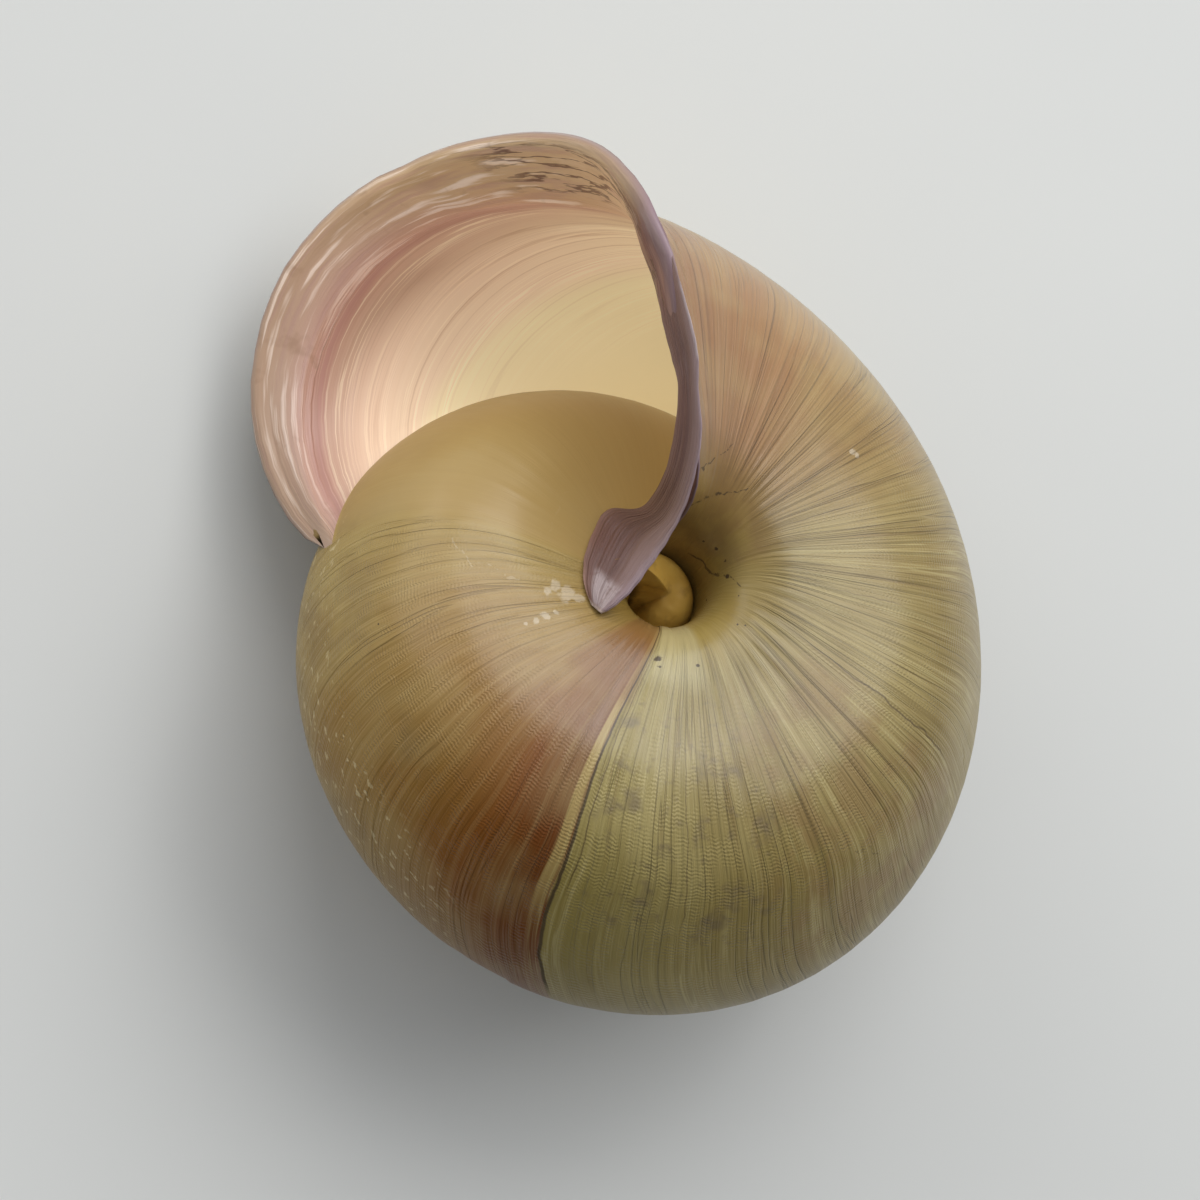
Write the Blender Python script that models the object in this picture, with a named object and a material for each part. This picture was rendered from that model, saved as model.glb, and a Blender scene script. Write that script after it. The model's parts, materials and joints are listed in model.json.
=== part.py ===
"""A land snail's shell, lying base upwards as it rests on a table, at its real size.

The shell is one closed solid: a hollow tube that winds round an axis and grows by
the same factor in each turn, with every whorl built against the whorl before it.
The lip's spoon-shaped fold over the umbilicus is joined on as a last step. Both are
modelled in the coil's own frame, with the apex at the origin and the axis running
along +Z to the base, and are then turned to the way the shell lies.

Places on the tube are given by an age and a share. The age is the angle round the
axis, in degrees, that the shell had still to grow: it is negative for older shell
and about 0 at the lip. The share runs across the tube's new wall, from 0 at the
suture on the spire side to 1 at the seam inside the umbilicus.
"""

import math

import bmesh
import bpy
import numpy as np
from mathutils import Matrix, Vector

MM = 0.001
TURN = 360.0

# Coil and tube, as they are at age 0
WHORL_GROWTH = 1.443
COIL_RADIUS = 10.45 * MM
COIL_DROP = 13.36 * MM
AXIS_LEAN = (-0.078, 0.025)
TUBE_RADIUS = 7.45 * MM
TUBE_WAVES = ((2, 0.40 * MM, -1.40 * MM), (3, -0.48 * MM, -0.04 * MM), (4, -0.07 * MM, 0.02 * MM))
TUBE_BULGES = ((141.3, 1.53 * MM, 18.3), (206.4, 1.12 * MM, 27.6))
WALL = 0.45 * MM
WHORLS = 5.5
HOLLOW_WHORLS = 3.0

# The last quarter turn, which swells and drops below the coil's own line
LAST_STRETCH = 92.0
LAST_SWELL = 0.10
LAST_DROP = 0.48 * MM

# Lip: the ages that it reaches, and its flared band, thicker at the shares next to the umbilicus
LIP_START_AGE = -42.0
LIP_END_AGE = 38.0
LIP_OLDEST_AGE = -25.0
LIP_OUTER_SHARE = 0.62
LIP_INNER_SHARE = 0.74
LIP_OUTER_CURVE = 2.4
LIP_INNER_CURVE = 5.0
LIP_BAND = 3.0 * MM
LIP_FLARE = 2.2 * MM
LIP_THICKNESS = 1.0 * MM
LIP_PILLAR_THICKNESS = 2.3 * MM
LIP_PILLAR_SHARES = (0.50, 0.68)
LIP_NOSE = 0.3 * MM

# Where the band has narrowed to the bare wall on the umbilical side, and over how large a share
BAND_END_SHARE = 0.90
BAND_FADE_SHARE = 0.15

# Fold of the lip over the umbilicus, in the coil's frame: its free rim, its seat, the way that
# its hollow face looks, and its thickness and the depth of its hollow along that way
FOLD_RIM = ((-2.93, 5.24, 22.75), (-2.72, 3.62, 22.23), (-2.72, 2.16, 21.22),
            (-2.78, 1.15, 19.78), (-2.96, 0.49, 18.20), (-3.39, -0.28, 16.93),
            (-3.95, -0.85, 16.09), (-4.40, -1.04, 15.66))
FOLD_SEAT = ((-3.25, 5.76, 21.68), (-3.20, 4.15, 20.86), (-3.12, 3.08, 19.35),
             (-3.01, 2.95, 17.05), (-3.33, 3.93, 14.43), (-4.38, 2.19, 14.83),
             (-4.86, 0.59, 15.23), (-4.72, -0.64, 15.51))
FOLD_FACING = (-0.357, -0.330, 0.874)
FOLD_THICKNESS = 1.3 * MM
FOLD_HOLLOW = 0.3 * MM
FOLD_STATIONS = 18
FOLD_SIDES = 14

# Knob of the earlier whorl inside the umbilicus
KNOB_HEIGHT = 2.6 * MM
KNOB_RINGS = 4

# How the shell lies: the base pole leans this far, towards this side
REST_TILT = 20.4
REST_SIDE = 79.5
LIP_AZIMUTH = 126.6

# Fineness of the mesh
SECTIONS_PER_WHORL = 36
SPIRE_CELLS = 4
PARIETAL_CELLS = 9
UMBILICAL_CELLS = 3
LIP_RINGS = 3
COLUMN_SPREAD = 60.0
CAP_LIFT = 0.3 * MM
BISECTIONS = 40

SHELL_COLOUR = (0.30, 0.22, 0.09, 1.0)
SHELL_ROUGHNESS = 0.3


def growth(age):
    """Size of the tube at an age, as a share of its size at age 0."""
    late = np.clip((np.asarray(age, float) + LAST_STRETCH) / LAST_STRETCH, 0.0, 1.5) ** 2
    return WHORL_GROWTH ** (np.asarray(age, float) / TURN) * (1.0 + LAST_SWELL * late)


def tube_middle(age):
    """Distance from the axis and depth below the apex of the tube's middle."""
    late = np.clip((np.asarray(age, float) + LAST_STRETCH) / LAST_STRETCH, 0.0, 1.5) ** 2
    size = growth(age)
    return size * COIL_RADIUS, size * COIL_DROP + LAST_DROP * late


def tube_reach(angle):
    """Distance from the tube's middle to its wall, at age 0, in a direction of the section."""
    reach = TUBE_RADIUS + 0.0 * angle
    for order, cosine, sine in TUBE_WAVES:
        reach = reach + cosine * np.cos(order * angle) + sine * np.sin(order * angle)
    for middle, height, width in TUBE_BULGES:
        away = (np.degrees(angle) - middle + TURN / 2) % TURN - TURN / 2
        reach = reach + height * np.exp(-(away / width) ** 2)
    return reach


def section_point(age, angle, inset):
    """Distance from the axis and depth of a point this far inside the tube's wall."""
    middle_radius, middle_depth = tube_middle(age)
    reach = growth(age) * tube_reach(angle) - inset
    return middle_radius + reach * np.cos(angle), middle_depth + reach * np.sin(angle)


def on_previous_whorl(age, radius, depth):
    """Direction of a point from the middle of the whorl before, and its height above that wall."""
    middle_radius, middle_depth = tube_middle(age - TURN)
    angle = np.arctan2(depth - middle_depth, radius - middle_radius)
    height = np.hypot(radius - middle_radius, depth - middle_depth) - growth(age - TURN) * tube_reach(angle)
    return angle, height


def seam_angle(age, inset, free_angle, buried_angle):
    """Direction in which the tube's wall meets the whorl before, found by halving."""
    free = np.full(np.shape(age), math.radians(free_angle))
    buried = np.full(np.shape(age), math.radians(buried_angle))
    for _ in range(BISECTIONS):
        middle = (free + buried) / 2
        height = on_previous_whorl(age, *section_point(age, middle, inset))[1]
        free = np.where(height > 0, middle, free)
        buried = np.where(height > 0, buried, middle)
    return (free + buried) / 2


def suture_angle(age, inset=0.0):
    """Direction of the seam on the spire side."""
    return seam_angle(age, inset, -20.0, -170.0)


def umbilical_angle(age, inset=0.0):
    """Direction of the seam inside the umbilicus."""
    return seam_angle(age, inset, 110.0, 240.0)


def in_space(age, radius, depth):
    """Coil frame coordinates of points given in their half planes."""
    azimuth = np.radians(LIP_AZIMUTH + age)
    across = radius * np.cos(azimuth) + AXIS_LEAN[0] * depth
    along = radius * np.sin(azimuth) + AXIS_LEAN[1] * depth
    return np.stack([across, along, depth], axis=-1)


def wall_points(age, share, inset=0.0, flare=0.0):
    """Points of the new wall, this far inside its outer face and flared out this far."""
    start = suture_angle(age, inset)
    end = umbilical_angle(age, inset)
    angle = start + share * (end - start)
    return in_space(age, *section_point(age, angle, inset - flare))


def seam_shares(age):
    """Shares at which the next whorl's outer and inner faces meet the wall of this age."""
    start = suture_angle(age)
    width = umbilical_angle(age) - start
    shares = []
    for find_seam, inset in ((suture_angle, 0.0), (suture_angle, WALL),
                             (umbilical_angle, WALL), (umbilical_angle, 0.0)):
        later = age + TURN
        angle = on_previous_whorl(later, *section_point(later, find_seam(later, inset), inset))[0]
        shares.append((angle - start) / width)
    return shares


def lip_age(share):
    """Age of the lip's edge across the wall: oldest at the base, equal at both seams."""
    outer = np.clip((LIP_OUTER_SHARE - share) / LIP_OUTER_SHARE, 0.0, 1.0)
    inner = np.clip((share - LIP_INNER_SHARE) / (1.0 - LIP_INNER_SHARE), 0.0, 1.0)
    rise = outer ** LIP_OUTER_CURVE + inner ** LIP_INNER_CURVE
    return LIP_OLDEST_AGE + (LIP_END_AGE - LIP_OLDEST_AGE) * rise


def lip_fade(share):
    """1 along the lip, falling to 0 at both of its ends."""
    return np.clip(np.sin(math.pi * share), 0.0, 1.0) ** 0.35


def eased(part):
    """0 below 0 and 1 above 1, with a smooth rise between them."""
    part = np.clip(part, 0.0, 1.0)
    return part ** 2 * (3.0 - 2.0 * part)


def band_strength(share):
    """1 along most of the lip's band, falling to 0 at the suture and before the fold."""
    return lip_fade(share) * eased((BAND_END_SHARE - share) / BAND_FADE_SHARE)


def lip_thickness(share):
    """Thickness of the lip's edge, which is greater on the side of the umbilicus."""
    start, end = LIP_PILLAR_SHARES
    more = (LIP_PILLAR_THICKNESS - LIP_THICKNESS) * eased((share - start) / (end - start))
    return WALL + (LIP_THICKNESS - WALL + more) * band_strength(share)


def band_age(share):
    """Age at which the lip's flared band begins."""
    radius = growth(0.0) * (COIL_RADIUS + TUBE_RADIUS)
    return lip_age(share) - np.degrees(LIP_BAND / radius) * lip_fade(share)


def column_shares(age):
    """Shares of the mesh's columns: on the seams where a whorl covers them, even past the lip."""
    last_covered = LIP_END_AGE - TURN
    spread = np.clip((age - last_covered) / COLUMN_SPREAD, 0.0, 1.0)
    outer_start, inner_start, inner_end, outer_end = seam_shares(min(age, last_covered))
    seamed = np.concatenate([np.linspace(0.0, outer_start, SPIRE_CELLS + 1),
                             np.linspace(inner_start, inner_end, PARIETAL_CELLS + 1),
                             np.linspace(outer_end, 1.0, UMBILICAL_CELLS + 1)])
    even = np.linspace(0.0, 1.0, len(seamed))
    return (1.0 - spread) * seamed + spread * even


def add_face(mesh, corners):
    """A face on these corners, each taken once, unless fewer than three are left."""
    kept = list(dict.fromkeys(corners))
    if len(kept) > 2:
        mesh.faces.new(kept)


def skin(mesh, first, second, cells):
    """Faces between two neighbouring rings, on these cells."""
    for cell in cells:
        add_face(mesh, (first[cell], second[cell], second[cell + 1], first[cell + 1]))


def add_cap(mesh, loop, lift):
    """A fan over a closed loop of vertices, with its middle moved along the axis."""
    middle = sum((vertex.co for vertex in loop), Vector()) / len(loop)
    top = mesh.verts.new(middle + Vector((0.0, 0.0, lift)))
    for place, vertex in enumerate(loop):
        add_face(mesh, (vertex, loop[(place + 1) % len(loop)], top))


def add_dome(mesh, loop):
    """The earlier whorl's knob that shows inside the umbilicus, over a closed loop of vertices."""
    middle = sum((vertex.co for vertex in loop), Vector()) / len(loop)
    below = loop
    for step in range(1, KNOB_RINGS):
        rise = math.radians(90.0) * step / KNOB_RINGS
        lift = Vector((0.0, 0.0, KNOB_HEIGHT * math.sin(rise)))
        ring = [mesh.verts.new(middle + math.cos(rise) * (vertex.co - middle) + lift) for vertex in loop]
        for place in range(len(loop)):
            after = (place + 1) % len(loop)
            add_face(mesh, (below[place], below[after], ring[after], ring[place]))
        below = ring
    add_cap(mesh, below, KNOB_HEIGHT * (1.0 - math.sin(rise)))


def add_ring(mesh, points, ends=None):
    """Vertices of one ring, whose two end vertices may be ones that exist already."""
    if ends is None:
        return [mesh.verts.new(point) for point in points]
    return [ends[0]] + [mesh.verts.new(point) for point in points[1:-1]] + [ends[1]]


def lip_rings(mesh, share, outer_ends, inner_ends):
    """Rings of the flared band, out to its edge, round its nose and back along its inner face."""
    band, edge = band_age(share), lip_age(share)
    steps = np.linspace(0.0, 1.0, LIP_RINGS + 1)[1:]
    outer, inner = [], []
    for part in steps:
        age = band + part * (edge - band)
        flare = LIP_FLARE * band_strength(share) * part ** 2
        thickness = WALL + (lip_thickness(share) - WALL) * part
        outer.append(add_ring(mesh, wall_points(age, share, 0.0, flare), outer_ends))
        inner.append(add_ring(mesh, wall_points(age, share, thickness, flare), inner_ends))
    nose_age = edge + np.degrees(LIP_NOSE / COIL_RADIUS) * lip_fade(share)
    nose = wall_points(nose_age, share, lip_thickness(share) / 2, LIP_FLARE * band_strength(share))
    return outer + [add_ring(mesh, nose, outer_ends)] + inner[::-1]


def build_coil():
    """The whole shell but for the fold over its umbilicus, as one closed mesh in the coil's frame."""
    mesh = bmesh.new()
    turn = SECTIONS_PER_WHORL
    step = TURN / turn
    last = round(WHORLS * turn)
    hollow = last - round(HOLLOW_WHORLS * turn)
    fan = round((LIP_END_AGE - LIP_START_AGE) / step)
    suture_outer = SPIRE_CELLS
    suture_inner = suture_outer + 1
    seam_inner = suture_inner + PARIETAL_CELLS
    seam_outer = seam_inner + 1
    columns = seam_outer + UMBILICAL_CELLS
    outer, inner = [], {}
    for number in range(last + 1):
        share = column_shares(LIP_END_AGE - step * (last - number))
        ages = LIP_END_AGE - step * (last - number) + 0.0 * share
        if number > last - fan:
            ages = LIP_START_AGE + (number - last + fan) / fan * (band_age(share) - LIP_START_AGE)
        before = outer[number - turn] if number >= turn else None
        ends = (before[suture_outer], before[seam_outer]) if before else None
        outer.append(add_ring(mesh, wall_points(ages, share), ends))
        if number >= hollow:
            ends = (before[suture_inner], before[seam_inner])
            inner[number] = add_ring(mesh, wall_points(ages, share, WALL), ends)
    everywhere = range(columns)
    spire = range(suture_outer)
    parietal = range(suture_inner, seam_inner)
    for number in range(last):
        covered = number + turn < last
        skin(mesh, outer[number], outer[number + 1], spire if covered else everywhere)
        if covered and number + turn >= hollow:
            skin(mesh, outer[number], outer[number + 1], parietal)
    edge = lip_rings(mesh, share, (outer[last][0], outer[last][-1]), (inner[last][0], inner[last][-1]))
    path = [outer[last]] + edge + [inner[number] for number in range(last, hollow - 1, -1)]
    for first, second in zip(path, path[1:]):
        skin(mesh, first, second, everywhere)
    first = outer[0]
    add_cap(mesh, [ring[0] for ring in outer[:turn]] + first[suture_outer:0:-1], -CAP_LIFT)
    visible = outer[last - turn]
    add_dome(mesh, [ring[-1] for ring in outer[last - turn:last]] + visible[seam_outer:-1])
    floor = outer[hollow - turn][suture_inner:seam_inner + 1]
    add_cap(mesh, inner[hollow][:-1] + floor[:0:-1], 0.0)
    loose = [vertex for vertex in mesh.verts if not vertex.link_faces]
    bmesh.ops.delete(mesh, geom=loose, context="VERTS")
    bmesh.ops.triangulate(mesh, faces=mesh.faces[:])
    bmesh.ops.recalc_face_normals(mesh, faces=mesh.faces[:])
    return mesh


def through(points, places):
    """Points of a smooth curve through a few points, at places from 0 to 1 along it."""
    points = np.array(points) * MM
    last = len(points) - 1
    first = np.clip(np.floor(places * last).astype(int), 0, last - 1)
    part = (places * last - first)[:, None]
    start, end = points[first], points[first + 1]
    before, after = points[np.maximum(first - 1, 0)], points[np.minimum(first + 2, last)]
    bend = (2 * before - 5 * start + 4 * end - after) * part ** 2
    turn = (3 * start - before - 3 * end + after) * part ** 3
    return start + ((end - before) * part + bend + turn) / 2


def build_fold():
    """The lip's spoon-shaped fold over the umbilicus, as a closed mesh in the coil's frame."""
    mesh = bmesh.new()
    places = np.linspace(0.0, 1.0, FOLD_STATIONS)
    rims, seats = through(FOLD_RIM, places), through(FOLD_SEAT, places)
    turn = np.radians(TURN) * np.arange(FOLD_SIDES) / FOLD_SIDES
    across = np.cos(turn)
    under = FOLD_THICKNESS * np.sqrt(1.0 - across ** 6) * (turn > math.pi)
    rings = []
    for place, rim, seat in zip(places, rims, seats):
        depth = under + FOLD_HOLLOW * math.sin(math.pi * place) * (1.0 - across ** 2)
        level = (rim + seat) / 2 + np.outer(across, rim - seat) / 2
        rings.append(add_ring(mesh, level - np.outer(depth, FOLD_FACING)))
    for first, second in zip(rings, rings[1:]):
        skin(mesh, first + first[:1], second + second[:1], range(FOLD_SIDES))
    add_cap(mesh, rings[0], 0.0)
    add_cap(mesh, rings[-1], 0.0)
    bmesh.ops.triangulate(mesh, faces=mesh.faces[:])
    bmesh.ops.recalc_face_normals(mesh, faces=mesh.faces[:])
    return mesh


def rest_turn():
    """Turn from the coil's frame to the way the shell lies."""
    side = math.radians(REST_SIDE)
    return Matrix.Rotation(math.radians(REST_TILT), 4, Vector((-math.sin(side), math.cos(side), 0.0)))


def table_place(mesh):
    """The middle of the floor of a mesh's box."""
    low = [min(vertex.co[axis] for vertex in mesh.verts) for axis in range(3)]
    high = [max(vertex.co[axis] for vertex in mesh.verts) for axis in range(3)]
    return Vector(((low[0] + high[0]) / 2, (low[1] + high[1]) / 2, low[2]))


def add_object(name, mesh, collection):
    """An object with this mesh, smooth, in a collection."""
    data = bpy.data.meshes.new(name)
    mesh.to_mesh(data)
    mesh.free()
    data.shade_smooth()
    data.materials.append(shell_material())
    made = bpy.data.objects.new(name, data)
    collection.objects.link(made)
    return made


def shell_material():
    """Glossy olive-yellow shell."""
    material = bpy.data.materials.new("shell_wall")
    material.use_nodes = True
    principled = material.node_tree.nodes["Principled BSDF"]
    principled.inputs["Base Color"].default_value = SHELL_COLOUR
    principled.inputs["Roughness"].default_value = SHELL_ROUGHNESS
    principled.inputs["Metallic"].default_value = 0.0
    return material


def main():
    """Build the shell in an empty scene."""
    for scene_object in list(bpy.context.scene.objects):
        bpy.data.objects.remove(scene_object, do_unlink=True)
    collection = bpy.data.collections.new("land_snail_shell")
    guides = bpy.data.collections.new("joined_in")
    bpy.context.scene.collection.children.link(collection)
    bpy.context.scene.collection.children.link(guides)
    coil, fold = build_coil(), build_fold()
    bmesh.ops.transform(coil, matrix=rest_turn(), verts=coil.verts[:])
    placed = Matrix.Translation(-table_place(coil))
    bmesh.ops.transform(coil, matrix=placed, verts=coil.verts[:])
    bmesh.ops.transform(fold, matrix=placed @ rest_turn(), verts=fold.verts[:])
    shell = add_object("shell", coil, collection)
    guide = add_object("umbilical_fold", fold, guides)
    guide.hide_render = True
    guide.display_type = "WIRE"
    join = shell.modifiers.new("umbilical_fold", "BOOLEAN")
    join.operation = "UNION"
    join.solver = "EXACT"
    join.object = guide


main()
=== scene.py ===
"""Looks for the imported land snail's shell.

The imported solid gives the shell's place and size. The shell is grown again here at a fine
grain, by the same rule: one tube that winds round an axis and grows by the same factor in
each turn. Places on it are given by marks: the growth, in degrees round the axis before the
lip, and the share across the wall, from 0 at the suture to 1 inside the umbilicus.
"""

import json
import logging
import math
from collections.abc import Iterable
from dataclasses import dataclass, field
from enum import Enum
from functools import cached_property

import bmesh
import bpy
import numpy as np
from mathutils import Matrix, Vector

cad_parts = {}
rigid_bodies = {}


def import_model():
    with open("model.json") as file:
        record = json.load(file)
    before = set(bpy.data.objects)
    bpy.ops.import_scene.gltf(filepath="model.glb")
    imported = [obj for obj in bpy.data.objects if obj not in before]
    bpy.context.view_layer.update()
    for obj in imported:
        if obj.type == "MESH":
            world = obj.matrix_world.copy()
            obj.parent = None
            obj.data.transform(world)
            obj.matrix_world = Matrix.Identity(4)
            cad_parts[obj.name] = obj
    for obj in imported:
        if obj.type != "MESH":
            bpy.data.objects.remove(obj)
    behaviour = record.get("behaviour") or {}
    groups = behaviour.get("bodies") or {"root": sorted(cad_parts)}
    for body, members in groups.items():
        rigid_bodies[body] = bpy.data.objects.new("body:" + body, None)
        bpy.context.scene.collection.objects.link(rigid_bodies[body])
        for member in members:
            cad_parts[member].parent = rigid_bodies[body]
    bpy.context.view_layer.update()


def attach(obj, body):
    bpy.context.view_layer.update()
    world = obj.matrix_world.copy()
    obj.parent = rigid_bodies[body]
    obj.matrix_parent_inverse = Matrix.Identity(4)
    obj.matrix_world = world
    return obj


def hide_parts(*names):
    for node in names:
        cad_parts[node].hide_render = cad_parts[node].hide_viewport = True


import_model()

LOG = logging.getLogger("land_snail_shell")
MM = 0.001
TURN = 360.0
SENSOR = 36.0
STUDIO_LIGHT = 0.8
COAT_ROUGHNESS = 0.24
GROWTH_STOP = -237.5
LEDGE_HEIGHT = 0.06 * MM
LATE_LIMIT = 1.5
ORIGIN = (0.0, 0.0, 0.0)
BLACK = (0.0, 0.0, 0.0, 1.0)

Socket = bpy.types.NodeSocket
Value = Socket | float | int | tuple | bool | bpy.types.Material
Corner = tuple[int, tuple[float, float, float]]
Colour = tuple[float, float, float, float]
Stops = tuple[tuple[float, Colour], ...]
Line = tuple[tuple[float, float], tuple[float, float], float]


def paint(red: int, green: int, blue: int) -> Colour:
    """Surface colour that looks like a screen colour in the studio's light.

    Args:
        red: Red, from 0 to 255.
        green: Green, from 0 to 255.
        blue: Blue, from 0 to 255.

    Returns:
        Red, green, blue and alpha in linear light.
    """
    parts = [channel / 255.0 for channel in (red, green, blue)]
    linear = [part / 12.92 if part < 0.04045 else ((part + 0.055) / 1.055) ** 2.4 for part in parts]
    return (*(min(part / STUDIO_LIGHT, 1.0) for part in linear), 1.0)


def eased(part: np.ndarray | float) -> np.ndarray | float:
    """0 below 0 and 1 above 1, with a smooth rise between them."""
    part = np.clip(part, 0.0, 1.0)
    return part ** 2 * (3.0 - 2.0 * part)


def through(points: np.ndarray, places: np.ndarray) -> np.ndarray:
    """Points of a smooth curve through a few points.

    Args:
        points: The points, one in each row.
        places: Places from 0 to 1 along the curve.

    Returns:
        The curve's points, one in each row.
    """
    last = len(points) - 1
    first = np.clip(np.floor(places * last).astype(int), 0, last - 1)
    part = (places * last - first)[:, None]
    start, end = points[first], points[first + 1]
    before, after = points[np.maximum(first - 1, 0)], points[np.minimum(first + 2, last)]
    bend = (2 * before - 5 * start + 4 * end - after) * part ** 2
    turn = (3 * start - before - 3 * end + after) * part ** 3
    return start + ((end - before) * part + bend + turn) / 2


def new_object(name: str, data: bpy.types.ID) -> bpy.types.Object:
    """A new object in the scene, at the origin."""
    made = bpy.data.objects.new(name, data)
    bpy.context.scene.collection.objects.link(made)
    return made


def store(mesh: bpy.types.Mesh, name: str, kind: str, domain: str, values: np.ndarray | list) -> None:
    """Keep marks on a mesh as an attribute.

    Args:
        mesh: The mesh.
        name: The attribute's name.
        kind: FLOAT, FLOAT_VECTOR or INT.
        domain: POINT, CORNER or FACE.
        values: One value or one row for each place.
    """
    flat = np.array(values, np.int32 if kind == "INT" else np.float32).ravel()
    key = "vector" if kind == "FLOAT_VECTOR" else "value"
    mesh.attributes.new(name, kind, domain).data.foreach_set(key, flat)


class Wall(Enum):
    """Which wall of the shell a face belongs to; the value is its material's place."""

    SKIN = 0
    GLAZE = 1
    KNOB = 2


class Surface(Enum):
    """Which face of the wall a ring of vertices lies on."""

    OUTER = 0
    EDGE = 1
    INNER = 2


# Nodes


class Tree:
    """A node tree with short calls that add a node and link its inputs."""

    def __init__(self, tree: bpy.types.NodeTree) -> None:
        """Keep the tree that nodes are added to."""
        self.tree = tree

    def add(self, kind: str, inputs: dict[str | int, Value] | None = None, **settings: object) -> bpy.types.Node:
        """Add a node.

        Args:
            kind: Blender's name of the node's type.
            inputs: Values or sockets for its inputs, by name or number.
            **settings: Properties of the node.

        Returns:
            The new node.
        """
        node = self.tree.nodes.new(kind)
        for name, setting in settings.items():
            setattr(node, name, setting)
        for key, value in (inputs or {}).items():
            self.feed(node.inputs[key], value)
        return node

    def feed(self, socket: Socket, value: Value) -> None:
        """Link a socket to an input, or set the input's own value.

        Args:
            socket: The input.
            value: A socket to link, or a value to set.
        """
        if isinstance(value, Socket):
            self.tree.links.new(value, socket)
        else:
            socket.default_value = value

    def math(self, operation: str, *values: Value, clamp: bool = False) -> Socket:
        """Result of a Math node.

        Args:
            operation: The node's operation.
            *values: Its inputs in order.
            clamp: Whether the result is kept from 0 to 1.

        Returns:
            The result's socket.
        """
        node = self.add("ShaderNodeMath", dict(enumerate(values)), operation=operation, use_clamp=clamp)
        return node.outputs[0]

    def times(self, first: Value, *others: Value, clamp: bool = False) -> Socket:
        """Product of two or more values, kept from 0 to 1 where clamp says so."""
        for other in others:
            first = self.math("MULTIPLY", first, other, clamp=clamp)
        return first

    def most(self, values: Iterable[Value]) -> Socket:
        """The greatest of several values, which are asked for one at a time."""
        waiting = iter(values)
        greatest = next(waiting)
        for value in waiting:
            greatest = self.math("MAXIMUM", greatest, value)
        return greatest

    def plus(self, first: Value, second: Value) -> Socket:
        """Sum of two values."""
        return self.math("ADD", first, second)

    def minus(self, first: Value, second: Value) -> Socket:
        """Difference of two values."""
        return self.math("SUBTRACT", first, second)

    def scaled(self, value: Value, factor: Value, base: Value) -> Socket:
        """A value times a factor, added to a base."""
        return self.math("MULTIPLY_ADD", value, factor, base)

    def near(self, value: Value, middle: float, wide: float, fine: float) -> Socket:
        """1 where a value is within fine of the middle, falling to 0 at wide."""
        return self.rise(self.math("ABSOLUTE", self.minus(value, middle)), wide, fine)

    def rise(self, value: Value, start: float, end: float) -> Socket:
        """A smooth rise from 0 at the start to 1 at the end.

        Args:
            value: What is looked at.
            start: Where the rise begins.
            end: Where it is complete; it may be less than the start.

        Returns:
            The result's socket.
        """
        node = self.add("ShaderNodeMapRange", {0: value, 1: start, 2: end, 3: 0.0, 4: 1.0})
        node.interpolation_type = "SMOOTHSTEP"
        return node.outputs[0]

    def window(self, value: Value, low: float, high: float, soft: float) -> Socket:
        """1 between two limits, falling smoothly to 0 outside them.

        Args:
            value: What is looked at.
            low: Lower limit.
            high: Upper limit.
            soft: Width of the fall beyond each limit.

        Returns:
            The result's socket.
        """
        return self.times(self.rise(value, low - soft, low), self.rise(value, high + soft, high))

    def join(self, x: Value, y: Value, z: Value = 0.0) -> Socket:
        """A vector from its three parts."""
        return self.add("ShaderNodeCombineXYZ", {0: x, 1: y, 2: z}).outputs[0]

    def vector(self, operation: str, *values: Value, scale: Value | None = None) -> Socket:
        """Result of a Vector Math node.

        Args:
            operation: The node's operation.
            *values: Its inputs in order.
            scale: The factor, for the operation SCALE alone.

        Returns:
            The result's socket.
        """
        inputs: dict[str | int, Value] = dict(enumerate(values))
        if scale is not None:
            inputs["Scale"] = scale
        node = self.add("ShaderNodeVectorMath", inputs, operation=operation)
        return node.outputs["Value" if operation in ("DOT_PRODUCT", "DISTANCE") else "Vector"]

    def noise(self, vector: Value, scale: Value, detail: float = 2.0, rough: float = 0.5) -> Socket:
        """Noise from 0 to 1.

        Args:
            vector: Where it is read.
            scale: How fine it is.
            detail: How many finer layers it has.
            rough: How strong the finer layers are.

        Returns:
            The noise's socket.
        """
        inputs = {"Vector": vector, "Scale": scale, "Detail": detail, "Roughness": rough}
        return self.add("ShaderNodeTexNoise", inputs).outputs["Fac"]

    def stretched(self, first: Value, fine: float, second: Value, split: float, detail: float = 2.0,
                  rough: float = 0.5, shift: float = 0.0) -> Socket:
        """Noise over two marks, each at its own scale.

        Args:
            first: One mark.
            fine: How fine the noise is along it.
            second: The other mark.
            split: How fine the noise is along that.
            detail: How many finer layers it has.
            rough: How strong the finer layers are.
            shift: Picks another piece of the noise.

        Returns:
            The noise's socket.
        """
        place = self.join(self.times(first, fine), self.times(second, split), shift)
        return self.noise(place, 1.0, detail, rough)


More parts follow.
